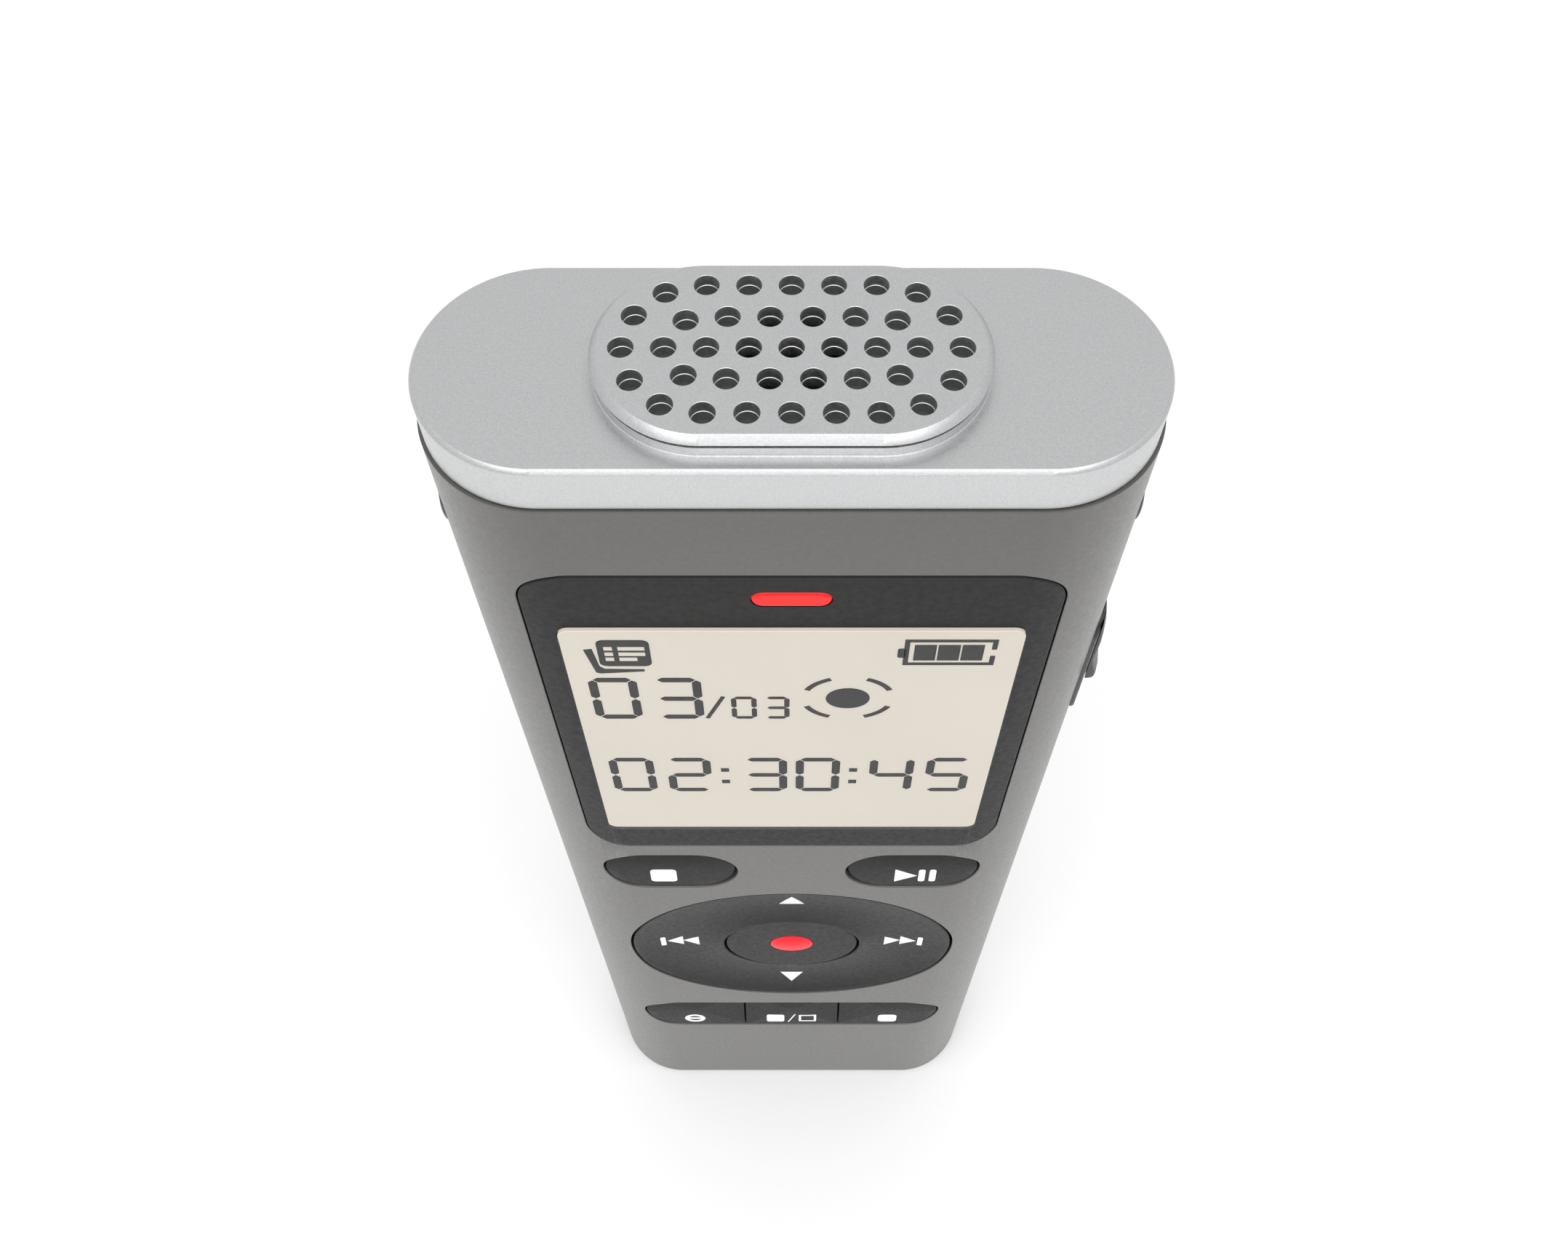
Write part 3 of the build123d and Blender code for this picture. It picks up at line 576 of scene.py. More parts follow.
def joined(objects):
    """One object from several whose volumes don't overlap."""
    edit = bmesh.new()
    for obj in objects:
        edit.from_mesh(obj.data)
    first = objects[0]
    edit.to_mesh(first.data)
    edit.free()
    for obj in objects[1:]:
        bpy.data.objects.remove(obj)
    return first


def settle(obj):
    """Turns an object's modifiers into its mesh."""
    depsgraph = bpy.context.evaluated_depsgraph_get()
    mesh = bpy.data.meshes.new_from_object(obj.evaluated_get(depsgraph))
    obj.modifiers.clear()
    obj.data = mesh
    return obj


def combine(obj, other, operation):
    modifier = obj.modifiers.new("cut", "BOOLEAN")
    modifier.operation = operation
    modifier.solver = "EXACT"
    modifier.object = other
    settle(obj)
    bpy.data.objects.remove(other)
    return obj


def cut(obj, *others):
    for other in others:
        combine(obj, other, "DIFFERENCE")
    return obj


def common(obj, other):
    return combine(obj, other, "INTERSECT")


def grown_with(obj, *others):
    for other in others:
        combine(obj, other, "UNION")
    return obj


def finish_mesh(obj, sharp_degrees=32):
    """Merges doubles, shades smooth between sharp edges and evens the normals out."""
    edit = bmesh.new()
    edit.from_mesh(obj.data)
    bmesh.ops.remove_doubles(edit, verts=edit.verts, dist=0.0005 * MM)
    bmesh.ops.dissolve_degenerate(edit, edges=edit.edges, dist=0.0005 * MM)
    for face in edit.faces:
        face.smooth = True
    limit = radians(sharp_degrees)
    for edge in edit.edges:
        edge.smooth = len(edge.link_faces) == 2 and edge.calc_face_angle(pi) < limit
    edit.to_mesh(obj.data)
    edit.free()
    weighted = obj.modifiers.new("normals", "WEIGHTED_NORMAL")
    weighted.keep_sharp = True
    return obj


def piece(obj, body, slot, nodes=(), material=None):
    """Gives a mesh its material, from its slot unless one is given, finishes it, puts it on its body and
    hides the CAD nodes that it stands for.
    """
    obj.data.materials.clear()
    obj.data.materials.append(material or MATERIALS[slot])
    finish_mesh(obj)
    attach(obj, body)
    if nodes:
        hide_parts(*nodes)
    return obj


def skin_band(name, out, inward, bottom, top):
    """Sleeve of the casing's own plan, from out beyond its surface to inward under it."""
    plan = stadium(BODY_R, SIDE_AXIS_X)
    band = upright(name, plan, [(out, bottom), (out, top)])
    return cut(band, upright("core", plan, [(-inward, bottom - 1), (-inward, top + 1)]))


# ---- Casing ----
def bezel_outline():
    return rounded(BEZEL_LOW[0], BEZEL_HIGH[0], BEZEL_LOW[2], BEZEL_HIGH[2], BEZEL_CORNER, 24)


def screen_outline():
    return rounded(SCREEN_LOW[0], SCREEN_HIGH[0], SCREEN_LOW[2], SCREEN_HIGH[2], SCREEN_CORNER)


def lamp_outline():
    height = LAMP_HIGH[2] - LAMP_LOW[2]
    return capsule(0, (LAMP_LOW[2] + LAMP_HIGH[2]) / 2, LAMP_HIGH[0] - LAMP_LOW[0], height, 20)


def upper_slot(side):
    return capsule(side * UPPER_KEY_X, UPPER_KEY_Z, *UPPER_SLOT)


def lower_slot():
    return capsule(0, LOWER_SLOT_Z, *LOWER_SLOT)


def casing(name):
    """The hollow body before anything is cut in it."""
    plan = stadium(BODY_R, SIDE_AXIS_X)
    foot = [(-side, deep) for side, deep in quarter(FOOT_ROUND, 8)]
    rim = 0.05
    levels = foot + [(0, BODY_H - rim), (-rim * 0.3, BODY_H - rim * 0.3), (-rim, BODY_H)]
    outer = upright(name, plan, levels)
    inner = upright("cavity", plan, [(-WALL, END_WALL), (-WALL, BODY_H - END_WALL)])
    return cut(outer, inner)


def end_cutters():
    """Openings in the two ends: the data socket's mouth and the microphone's port."""
    half_w, low_y, high_y = 4.1, -1.6, 1.5
    socket = upright("usb", rounded(-half_w, half_w, low_y, high_y, 0.5, 8),
                     [(0.25, -1), (0.25, 0.0), (0.07, 0.07), (0, 0.25), (0, END_WALL + 1)])
    port = lathe_z("port", 0, 0, [(PORT_R, BODY_H - END_WALL - 1), (PORT_R, BODY_H + 1)], 64)
    return [socket, port]


def switch_slot():
    """Cutter for the slot in which the switch slides."""
    bottom, top = SWITCH_SLOT_Z
    return slab("switch_slot", (17, -1, bottom), (21, 1, top))


def front_shell():
    shell = casing("front_casing")
    cut(shell, slab("behind", (-FAR, PART_LINE_Y, -1), (FAR, FAR, BODY_H + 1)))
    inside = FRONT_Y + WALL + 1.6
    pocket = skin_band("pocket", 1.0, BEZEL_T, BEZEL_LOW[2] - 3, BEZEL_HIGH[2] + 3)
    cut(shell, common(pocket, front_cut("mouth", grown(bezel_outline(), 0.07), -1.0, 0.08)))
    cut(shell, front_cut("screen_hole", grown(screen_outline(), 0.4), inside, 0.0))
    cut(shell, front_cut("lamp_hole", grown(lamp_outline(), 0.1), inside, 0.0))
    for side in (-1, 1):
        cut(shell, front_cut("upper_hole", upper_slot(side), inside))
    cut(shell, front_cut("ring_hole", circle(0, NAV_Z, NAV_OPENING_R, 240), inside, 0.08))
    cut(shell, front_cut("lower_hole", lower_slot(), inside))
    for side in (-1, 1):
        profile = [(COLLAR_R + 0.03, side * (SIDE_AXIS_X + 3)), (COLLAR_R + 0.03, side * FAR)]
        cut(shell, lathe_x("collar_hole", 0, JACK_Z, profile))
    cut(shell, switch_slot())
    cut(shell, *end_cutters())
    piece(shell, "body", "body_paint", ["front_shell"])


def rear_shell():
    shell = casing("rear_casing")
    cut(shell, slab("ahead", (-FAR, -FAR, -1), (FAR, REAR_FRONT_Y, BODY_H + 1)))
    pad = SCREW_HEAD_R + 0.7
    for x, z in SCREW_PLACES:
        grown_with(shell, lathe_y("pad", x, z, [(pad, REAR_FRONT_Y), (pad, BODY_R - 0.6)], 64))
    well = SCREW_HEAD_R + 0.15
    mouth = well + 0.15
    for x, z in SCREW_PLACES:
        profile = [(well, SCREW_SEAT_Y), (well, BODY_R - 0.15), (mouth, BODY_R), (mouth, BODY_R + 1)]
        cut(shell, lathe_y("well", x, z, profile, 64))
    for row in range(SPEAKER_ROWS):
        offset = (row - (SPEAKER_ROWS - 1) / 2) * SPEAKER_PITCH
        width = 2 * sqrt(SPEAKER_FIELD_R ** 2 - offset ** 2)
        outline = capsule(0, SPEAKER_Z + offset, width, SPEAKER_SLOT_W, 16)
        levels = [(0, 4), (0, BODY_R - 0.15), (0.045, BODY_R - 0.045), (0.15, BODY_R), (0.15, BODY_R + 1)]
        rings = [[(x, y, z) for x, z in trace(outline, grow)] for grow, y in levels]
        cut(shell, loft("slot", rings))
    cut(shell, *end_cutters())
    piece(shell, "body", "body_paint", ["rear_shell"])


def shell_screws():
    """Pan heads with a cross recess, in their wells on the back."""
    heads = []
    for x, z in SCREW_PLACES:
        top = SCREW_SEAT_Y + 0.9
        profile = [(0.7, SCREW_SEAT_Y - 1), (0.7, SCREW_SEAT_Y), (SCREW_HEAD_R, SCREW_SEAT_Y)]
        profile += [(SCREW_HEAD_R, top - 0.35), (SCREW_HEAD_R - 0.1, top - 0.15), (SCREW_HEAD_R - 0.35, top)]
        head = lathe_y("head", x, z, profile, 48)
        cut(head, slab("cross", (x - 0.8, top - 0.4, z - 0.17), (x + 0.8, top + 1, z + 0.17)))
        cut(head, slab("cross", (x - 0.17, top - 0.4, z - 0.8), (x + 0.17, top + 1, z + 0.8)))
        heads.append(head)
    screws = joined(heads)
    screws.name = "case_screws"
    piece(screws, "body", "steel", ["shell_screws"])


# ---- Cap and microphone grille ----
def top_cap():
    bottom, top = CAP_LOW[2], CAP_HIGH[2]
    soft = 0.04
    levels = [(-0.03, bottom - 0.05), (0, bottom - 0.02), (0, top - CAP_BEVEL - soft)]
    levels += [(-soft * 0.4, top - CAP_BEVEL), (-CAP_BEVEL + soft * 0.4, top - soft * 0.5)]
    levels += [(-CAP_BEVEL - soft, top)]
    cap = upright("cap", stadium(CAP_R, CAP_AXIS_X), levels)
    profile = [(PORT_R, bottom - 1), (PORT_R, top - 0.05), (PORT_R + 0.05, top), (PORT_R + 0.05, top + 1)]
    cut(cap, lathe_z("port", 0, 0, profile, 96))
    piece(cap, "body", "cap_aluminium", ["top_cap"])


def ring_point(step, steps_per_quarter, ring_r, half_length):
    """Place on a slot-shaped path, in even steps from the middle of its long side."""
    straight = half_length - ring_r
    walked = abs(step) * (straight + ring_r * pi / 2) / steps_per_quarter
    if walked <= straight:
        x, y = walked, ring_r
    else:
        turn = (walked - straight) / ring_r
        x, y = straight + ring_r * sin(turn), ring_r * cos(turn)
    return (x if step >= 0 else -x), y


def hole_places():
    """A middle row of nine holes, and two slot-shaped rings round it."""
    places = [(step * HOLE_PITCH, 0) for step in range(-4, 5)]
    for side in (-1, 1):
        for step in (-2.5, -1.5, -0.5, 0.5, 1.5, 2.5):
            x, y = ring_point(step, 3.5, INNER_RING_R, 3 * HOLE_PITCH)
            places.append((x, side * y))
        for step in range(-4, 5):
            x, y = ring_point(step, 5, OUTER_RING_R, 4 * HOLE_PITCH)
            places.append((x, side * y))
    return places


def drilled(plate, bottom, top, round_r, radius):
    """Round holes through a plate, each with a rounded mouth."""
    drills = []
    for x, y in hole_places():
        mouth = [(radius + side, top - deep) for side, deep in reversed(quarter(round_r, 4))]
        profile = [(radius, bottom - 0.5)] + mouth + [(radius + round_r, top + 0.5)]
        drills.append(lathe_z("drill", x, y, profile, 40))
    return cut(plate, joined(drills))


def grille_base():
    bottom, top = BASE_LOW[2], BASE_HIGH[2]
    foot, soft = 0.06, 0.03
    levels = [(0, bottom), (0, bottom + 0.015), (-foot, bottom + 0.015 + foot), (-foot, top - soft)]
    levels += [(-foot - soft * 0.3, top - soft * 0.3), (-foot - soft, top)]
    base = upright("grille_lower", stadium(GRILLE_R, GRILLE_AXIS_X), levels)
    drilled(base, bottom, top, 0.05, HOLE_R - 0.04)
    piece(base, "body", "cap_aluminium", ["grille_base"])


def grille_hole_shade():
    """Dark sheet on the cap under the blind holes, open round the microphone port: painted shade for the
    floors of the holes.
    """
    bottom = CAP_HIGH[2]
    levels = [(-1.0, bottom - 0.02), (-1.0, bottom + 0.03)]
    shade_sheet = upright("grille_hole_shade", stadium(GRILLE_R, GRILLE_AXIS_X), levels)
    cut(shade_sheet, lathe_z("port", 0, 0, [(PORT_R, bottom - 1), (PORT_R, bottom + 1)], 96))
    piece(shade_sheet, "body", "chip_black", (), HOLE_SHADE)


def grille_plate():
    bottom, top = PLATE_LOW[2], PLATE_HIGH[2]
    soft = 0.03
    levels = [(-NECK_INSET, bottom), (-NECK_INSET, NECK_TOP), (-0.02, NECK_TOP), (0, NECK_TOP + 0.02)]
    levels += [(0, top - PLATE_CHAMFER - soft * 0.5), (-soft * 0.5, top - PLATE_CHAMFER + soft * 0.2)]
    levels += [(-PLATE_CHAMFER + soft, top - soft * 0.6), (-PLATE_CHAMFER - soft * 0.6, top)]
    plate = upright("grille_upper", stadium(GRILLE_R, GRILLE_AXIS_X), levels)
    drilled(plate, bottom, top, HOLE_ROUND, HOLE_R)
    piece(plate, "body", "cap_aluminium", ["grille_plate"])


# ---- Screen ----
def display_bezel():
    """Plate that follows the casing's curve, with a softened rim."""
    bezel = skin_band("screen_bezel", 0, BEZEL_T - 0.02, BEZEL_LOW[2] - 3, BEZEL_HIGH[2] + 3)
    levels = [(-side, deep) for side, deep in quarter(0.14)]
    common(bezel, front_solid("plug", bezel_outline(), levels, -1.0))
    cut(bezel, front_cut("screen_hole", grown(screen_outline(), 0.03), 0, 0.05))
    cut(bezel, front_cut("lamp_hole", grown(lamp_outline(), 0.03), 0, 0.05))
    piece(bezel, "body", "bezel_black", ["display_bezel"])


def pane(name, front_y, back_y, round_r):
    """Flat pane with a rounded front edge."""
    chain = screen_outline()
    rings = [[(x, front_y + deep, z) for x, z in trace(chain, -side)] for side, deep in quarter(round_r)]
    rings.append([(x, back_y, z) for x, z in trace(chain)])
    return loft(name, rings)


def screen_panes():
    window = pane("screen_window", SCREEN_LOW[1], SCREEN_HIGH[1], 0.1)
    piece(window, "body", "window_clear", ["display_window"])
    cell = pane("screen_cell", LCD_LOW[1], LCD_HIGH[1], 0.04)
    piece(cell, "body", "lcd_cell", ["lcd_glass"])


def record_lamp_lens():
    chain = lamp_outline()
    front = LAMP_LOW[1]
    rings = [[(x, front + deep, z) for x, z in trace(chain, -side)] for side, deep in quarter(0.22, 5)]
    rings.append([(x, LAMP_HIGH[1], z) for x, z in trace(chain)])
    piece(loft("lamp_lens", rings), "body", "lamp_red", ["record_lamp_lens"])


# ---- Marks on the screen and keys: thin raised outlines ----
class Marks:
    """Thin flat shapes collected into one mesh, on a surface given as y(x, z)."""

    def __init__(self, surface, thick=0.02, shift=(0.0, 0.0)):
        self.surface = surface
        self.shift = shift
        self.thick = thick
        self.points = []
        self.faces = []

    def shape(self, outline):
        """One convex or simple outline as a thin prism."""
        start = len(self.points)
        count = len(outline)
        for lift in (self.thick, -MARK_ROOT):
            for x, z in outline:
                x_there, z_there = x + self.shift[0], z + self.shift[1]
                self.points.append((x_there, self.surface(x_there, z_there) - lift, z_there))
        self.faces.append(tuple(range(start, start + count)))
        self.faces.append(tuple(range(start + 2 * count - 1, start + count - 1, -1)))
        for i in range(count):
            j = (i + 1) % count
            self.faces.append((start + j, start + i, start + count + i, start + count + j))

    def box(self, low_x, high_x, low_z, high_z):
        self.shape([(low_x, low_z), (high_x, low_z), (high_x, high_z), (low_x, high_z)])

    def tile(self, low_x, high_x, low_z, high_z, corner):
        self.shape(trace(rounded(low_x, high_x, low_z, high_z, corner, 6)))

    def bar(self, start, end, width):
        """Straight stroke with square ends."""
        along = Vector(end) - Vector(start)
        across = Vector((-along[1], along[0])).normalized() * width / 2
        ends = ((start, -across), (end, -across), (end, across), (start, across))
        self.shape([tuple(Vector(place) + aside) for place, aside in ends])

    def sweep(self, cx, cz, radius, width, start, turn, steps=16):
        """Part of a ring."""
        angles = [radians(start + turn * i / steps) for i in range(steps + 1)]
        outer = [(cx + (radius + width / 2) * cos(a), cz + (radius + width / 2) * sin(a)) for a in angles]
        inner = [(cx + (radius - width / 2) * cos(a), cz + (radius - width / 2) * sin(a)) for a in angles]
        self.shape(outer + inner[::-1])

    def digit(self, character, left, bottom, width, height, stroke):
        """Seven-bar digit with mitred bars and a small gap between them."""
        half = stroke / 2
        gap = stroke * 0.12
        right, top, mid = left + width, bottom + height, bottom + height / 2
        rows = {"a": top - half, "g": mid, "d": bottom + half}
        columns = {"f": (left + half, mid, top), "b": (right - half, mid, top),
                   "e": (left + half, bottom, mid), "c": (right - half, bottom, mid)}
        for bar in SEGMENTS[character]:
            if bar in rows:
                z, x0, x1 = rows[bar], left + half + gap, right - half - gap
                self.shape([(x0, z), (x0 + half, z - half), (x1 - half, z - half), (x1, z),
                            (x1 - half, z + half), (x0 + half, z + half)])
            else:
                x, z0, z1 = columns[bar]
                z0 += gap + (half if z0 == bottom else 0)
                z1 -= gap + (half if z1 == top else 0)
                self.shape([(x, z0), (x + half, z0 + half), (x + half, z1 - half), (x, z1),
                            (x - half, z1 - half), (x - half, z0 + half)])

    def made(self, name, body, slot, material):
        return piece(mesh_object(name, self.points, self.faces), body, slot, (), material)


SEGMENTS = {"0": "abcdef", "2": "abged", "3": "abgcd", "4": "fgbc", "5": "afgcd"}


def screen_marks():
    """Battery, pages, counter, record sign and running time."""
    dark = Marks(lambda x, z: LCD_LOW[1], shift=SCREEN_SHIFT)

    # battery: nub, four edges with a break in the right one, and three bars
    left, right, bottom, top = 6.59, 11.87, 100.31, 103.34
    line = 0.3
    dark.tile(6.24, 6.72, 101.2, 102.3, 0.18)
    dark.box(left, right, top - line, top)
    dark.box(left, right, bottom, bottom + line)
    dark.box(left, left + line, bottom + line, top - line)
    dark.box(right - line, right, bottom + line, 101.42)
    dark.box(right - line, right, 102.19, top - line)
    for bar_x in (7.17, 8.53, 9.89):
        dark.box(bar_x, bar_x + 1.26, 100.88, 102.72)

    # two stacked pages: a filled one over the edge of another
    dark.tile(-10.92, -7.9, 100.18, 103.28, 0.45)
    dark.shape([(-11.7, 102.15), (-11.2, 102.25), (-10.98, 100.15), (-10.7, 99.83), (-8.4, 99.78),
                (-8.4, 99.53), (-11.0, 99.27), (-11.25, 99.4)])

    # counter and slash
    for character, left in (("0", -11.9), ("3", -8.1)):
        dark.digit(character, left, COUNTER_Z, 2.9, DIGIT_H, DIGIT_STROKE)
    dark.bar((-5.03, 93.3), (-3.95, 96.25), 0.26)
    for character, left in (("0", -3.5), ("3", -1.5)):
        dark.digit(character, left, COUNTER_Z, 1.55, 3.0, 0.32)

    # record sign: a disc in four arcs
    sign_x, sign_z = 3.57, 96.02
    dark.shape(trace(circle(sign_x, sign_z, 1.33, 48)))
    for start in (23.5, 113.5, 203.5, 293.5):
        dark.sweep(sign_x, sign_z, 2.7, 0.36, start, 43)

    # running time, with a pair of dots after the second and the fourth digit
    places = (("0", -11.87), ("2", -8.1), ("3", -3.05), ("0", 0.45), ("4", 5.35), ("5", 9.1))
    for character, left in places:
        dark.digit(character, left, TIME_Z, 2.93, DIGIT_H, DIGIT_STROKE)
    half_dot = 0.27
    for x in (-4.25, 4.27):
        for z in (83.55, 85.45):
            dark.box(x - half_dot, x + half_dot, z - half_dot, z + half_dot)
    dark.made("screen_figures", "body", "chip_black", INK)

    # three lines of writing on the filled page, just over its ink
    light = Marks(lambda x, z: LCD_LOW[1] - 0.021, 0.006, SCREEN_SHIFT)
    half_line = 0.2
    for z, right in ((102.3, -8.2), (101.65, -8.2), (101.04, -8.7)):
        light.box(-10.53, -10.04, z - half_line, z + half_line)
        light.box(-9.73, right, z - half_line, z + half_line)
    light.made("screen_page_lines", "body", "lcd_cell", MATERIALS["lcd_cell"])


def key_face_y(z, low_z, high_z):
    """Y of a key face: nearly flush at its foot, leaning back ever more to its top."""
    part = (z - low_z) / (high_z - low_z)
    lean = KEY_LEAN * (high_z - low_z)
    rest = KEY_TOP_RECESS - KEY_FOOT_RECESS - lean
    return FRONT_Y + KEY_FOOT_RECESS + lean * part + rest * max(part, 0.0) ** KEY_CURVE


def upper_face(x, z):
    """Y of the face of a key below the screen, never proud of the casing."""
    half = UPPER_SLOT[1] / 2
    return max(key_face_y(z, UPPER_KEY_Z - half, UPPER_KEY_Z + half), skin_y(x) + KEY_SKIN)


def lower_face(x, z):
    """Y of the face of a key in the lower slot, never proud of the casing."""
    half = LOWER_SLOT[1] / 2
    return max(key_face_y(z, LOWER_SLOT_Z - half, LOWER_SLOT_Z + half), skin_y(x) + KEY_SKIN)


def dish_y(x, z):
    """Y of the four-way ring's front: hollowed between its two rims, never proud of the casing."""
    half = (NAV_R - NAV_INNER_R) / 2
    across = (sqrt(x * x + (z - NAV_Z) ** 2) - NAV_INNER_R - half) / half
    across = max(-1.0, min(1.0, across))
    lean = (NAV_OUTER_RECESS - NAV_INNER_RECESS) / 2
    rise = (NAV_OUTER_RECESS + NAV_INNER_RECESS) / 2 - NAV_DISH
    hollow = FRONT_Y + NAV_DISH + lean * across + rise * across ** 2
    return max(hollow, skin_y(x) + NAV_SKIN)


def triangle(marks, x, z, width, height, way):
    """Solid arrow head: way is left, right, up or down."""
    w, h = width / 2, height / 2
    outlines = {
        "right": [(x - w, z - h), (x + w, z), (x - w, z + h)],
        "left": [(x + w, z - h), (x + w, z + h), (x - w, z)],
        "up": [(x - w, z - h), (x + w, z - h), (x, z + h)],
        "down": [(x - w, z + h), (x, z - h), (x + w, z + h)],
    }
    marks.shape(outlines[way])


def key_marks():
    """White signs on the keys, each riding on its own key."""
    stop = Marks(upper_face)
    stop.tile(-11.1, -9.05, 63.14, 65.26, 0.35)
    stop.made("stop_sign", "stop_key", "lcd_white", PRINT)

    play = Marks(upper_face)
    triangle(play, 9.0, 64.2, 1.75, 2.17, "right")
    for x in (10.25, 11.1):
        play.tile(x - 0.26, x + 0.26, 63.16, 65.24, 0.2)
    play.made("play_sign", "play_key", "lcd_white", PRINT)

    ring = Marks(dish_y)
    triangle(ring, 0, NAV_Z + 11.0, 2.1, 2.3, "up")
    triangle(ring, 0, NAV_Z - 10.7, 2.1, 2.3, "down")
    middle_z = NAV_Z + 0.1
    for side, way in ((-1, "left"), (1, "right")):
        for x in (8.95, 10.35):
            triangle(ring, side * x, middle_z, 1.4, 2.2, way)
        bar_x = sorted((side * 11.2, side * 11.65))
        ring.tile(*bar_x, middle_z - 1.1, middle_z + 1.1, 0.15)
    ring.made("ring_signs", "nav_ring", "lcd_white", PRINT)

    mark_z = 22.34
    left = Marks(lower_face)
    for start in (4, 184):
        left.sweep(-9.9, mark_z, 0.85, 0.4, start, 172, 20)
    left.tile(-10.95, -8.85, mark_z - 0.22, mark_z + 0.22, 0.2)
    left.made("left_sign", "left_key", "lcd_white", PRINT)

    centre = Marks(lower_face)
    centre.tile(-2.55, -0.75, mark_z - 1.0, mark_z + 1.0, 0.3)
    centre.bar((-0.35, mark_z - 1.1), (0.35, mark_z + 1.1), 0.14)
    frame_half, frame_line = 0.8, 0.24
    for z in (mark_z + frame_half, mark_z - frame_half):
        centre.bar((0.75, z), (2.5, z), frame_line)
    for x in (0.85, 2.4):
        centre.bar((x, mark_z - frame_half), (x, mark_z + frame_half), frame_line)
    centre.made("middle_sign", "middle_key", "lcd_white", PRINT)

    right = Marks(lower_face)
    right.tile(8.85, 10.75, mark_z - 1.0, mark_z + 1.0, 0.45)
    right.made("right_sign", "right_key", "lcd_white", PRINT)


# ---- Keys ----
def pressed_face(points, scales, face):
    """Rings that run in over a key's face, following its height."""
    cx = (min(x for x, z in points) + max(x for x, z in points)) / 2
    cz = (min(z for x, z in points) + max(z for x, z in points)) / 2
    rings = []
    for scale in scales:
        ring = [(cx + (x - cx) * scale, cz + (z - cz) * scale) for x, z in points]
        rings.append([(x, face(x, z), z) for x, z in ring])
    return rings


def key_body(name, chain, face, stem_x, stem_z):
    """Key with a softly rounded rim round its face, and the stem behind it."""
    points = trace(chain, -KEY_ROUND)
    rings = pressed_face(points, (0.05, 0.35, 0.65, 0.85, 1.0), face)
    for side, deep in quarter(KEY_ROUND, 5)[1:]:
        rings.append([(x, face(x, z) + deep, z) for x, z in trace(chain, -side)])
    rings.append([(x, FLANGE_BACK_Y, z) for x, z in trace(chain)])
    key = loft(name, rings)
    stem = lathe_y("stem", stem_x, stem_z, [(STEM_R, FLANGE_BACK_Y - 0.3), (STEM_R, STEM_END_Y)], 48)
    return grown_with(key, stem)


def key_rim(slot):
    """Thin rim behind the wall, wider than the slot, that keeps a key in."""
    outline = trace(slot, FLANGE_REACH)
    depths = (FLANGE_FRONT_Y, FLANGE_BACK_Y - 0.03)
    plug = loft("rim", [[(x, y, z) for x, z in outline] for y in depths])
    plan = stadium(BODY_R - WALL - 0.1, SIDE_AXIS_X)
    return common(plug, upright("inside", plan, [(0, 1), (0, BODY_H)]))


def upper_keys():
    for side, node in ((-1, "stop_key"), (1, "play_key")):
        chain = grown(upper_slot(side), -KEY_GAP)
        key = key_body(node + "_cap", chain, upper_face, side * UPPER_KEY_X, UPPER_KEY_Z)
        grown_with(key, key_rim(upper_slot(side)))
        piece(key, node, "key_charcoal", [node])


def lower_outline(place):
    """One third of the lower slot, less its gaps, with small inner corners."""
    width, height = LOWER_SLOT
    half_h = height / 2 - KEY_GAP
    corner = 0.3
    inner = LOWER_SPLIT_X + LOWER_GAP / 2
    reach = width / 2 - height / 2
    if place == 0:
        half_w = LOWER_SPLIT_X - LOWER_GAP / 2
        return rounded(-half_w, half_w, LOWER_SLOT_Z - half_h, LOWER_SLOT_Z + half_h, corner, 10)
    low, high = LOWER_SLOT_Z - half_h + corner, LOWER_SLOT_Z + half_h - corner
    corner_x = place * (inner + corner)
    if place > 0:
        end = arc(reach, LOWER_SLOT_Z, half_h, -90, 180, 64)
        return [end, arc(corner_x, high, corner, 90, 90, 10), arc(corner_x, low, corner, 180, 90, 10)]
    end = arc(-reach, LOWER_SLOT_Z, half_h, 90, 180, 64)
    return [end, arc(corner_x, low, corner, -90, 90, 10), arc(corner_x, high, corner, 0, 90, 10)]


def lower_keys():
    for place, node in ((-1, "left_key"), (0, "middle_key"), (1, "right_key")):
        key = key_body(node + "_cap", lower_outline(place), lower_face, place * LOWER_STEM_X, LOWER_SLOT_Z)
        piece(key, node, "key_charcoal", [node])


def ring_levels():
    """(radius, extra depth) of the four-way ring's front, from its inner wall to its outer wall."""
    soft = 0.16
    levels = [(NAV_INNER_R + side, deep) for side, deep in reversed(quarter(soft))]
    span_low, span_high = NAV_INNER_R + soft, NAV_R - soft
    steps = 28
    levels += [(span_low + (span_high - span_low) * i / steps, 0.0) for i in range(1, steps)]
    return levels + [(NAV_R - side, deep) for side, deep in quarter(soft)]


def nav_ring():
    """Four-way ring with a hollow face and a stem under each arrow."""
    steps = 256
    rings = []
    for radius, deep in ring_levels():
        ring = []
        for i in range(steps):
            angle = 2 * pi * i / steps
            x, z = radius * cos(angle), NAV_Z + radius * sin(angle)
            ring.append((x, dish_y(x, z) + deep, z))
        rings.append(ring)
    for radius in (NAV_R, NAV_INNER_R):
        angles = (2 * pi * i / steps for i in range(steps))
        rings.append([(radius * cos(a), NAV_BACK_Y, NAV_Z + radius * sin(a)) for a in angles])
    ring = loft("four_way_ring", rings, closed=True)
    stem = [(NAV_STEM_R, NAV_BACK_Y - 0.3), (NAV_STEM_R, STEM_END_Y)]
    for turn in (0, 90, 180, 270):
        x, z = NAV_STEM_AT * cos(radians(turn)), NAV_Z + NAV_STEM_AT * sin(radians(turn))
        grown_with(ring, lathe_y("stem", x, z, stem, 32))
    piece(ring, "nav_ring", "key_charcoal", ["nav_ring"])


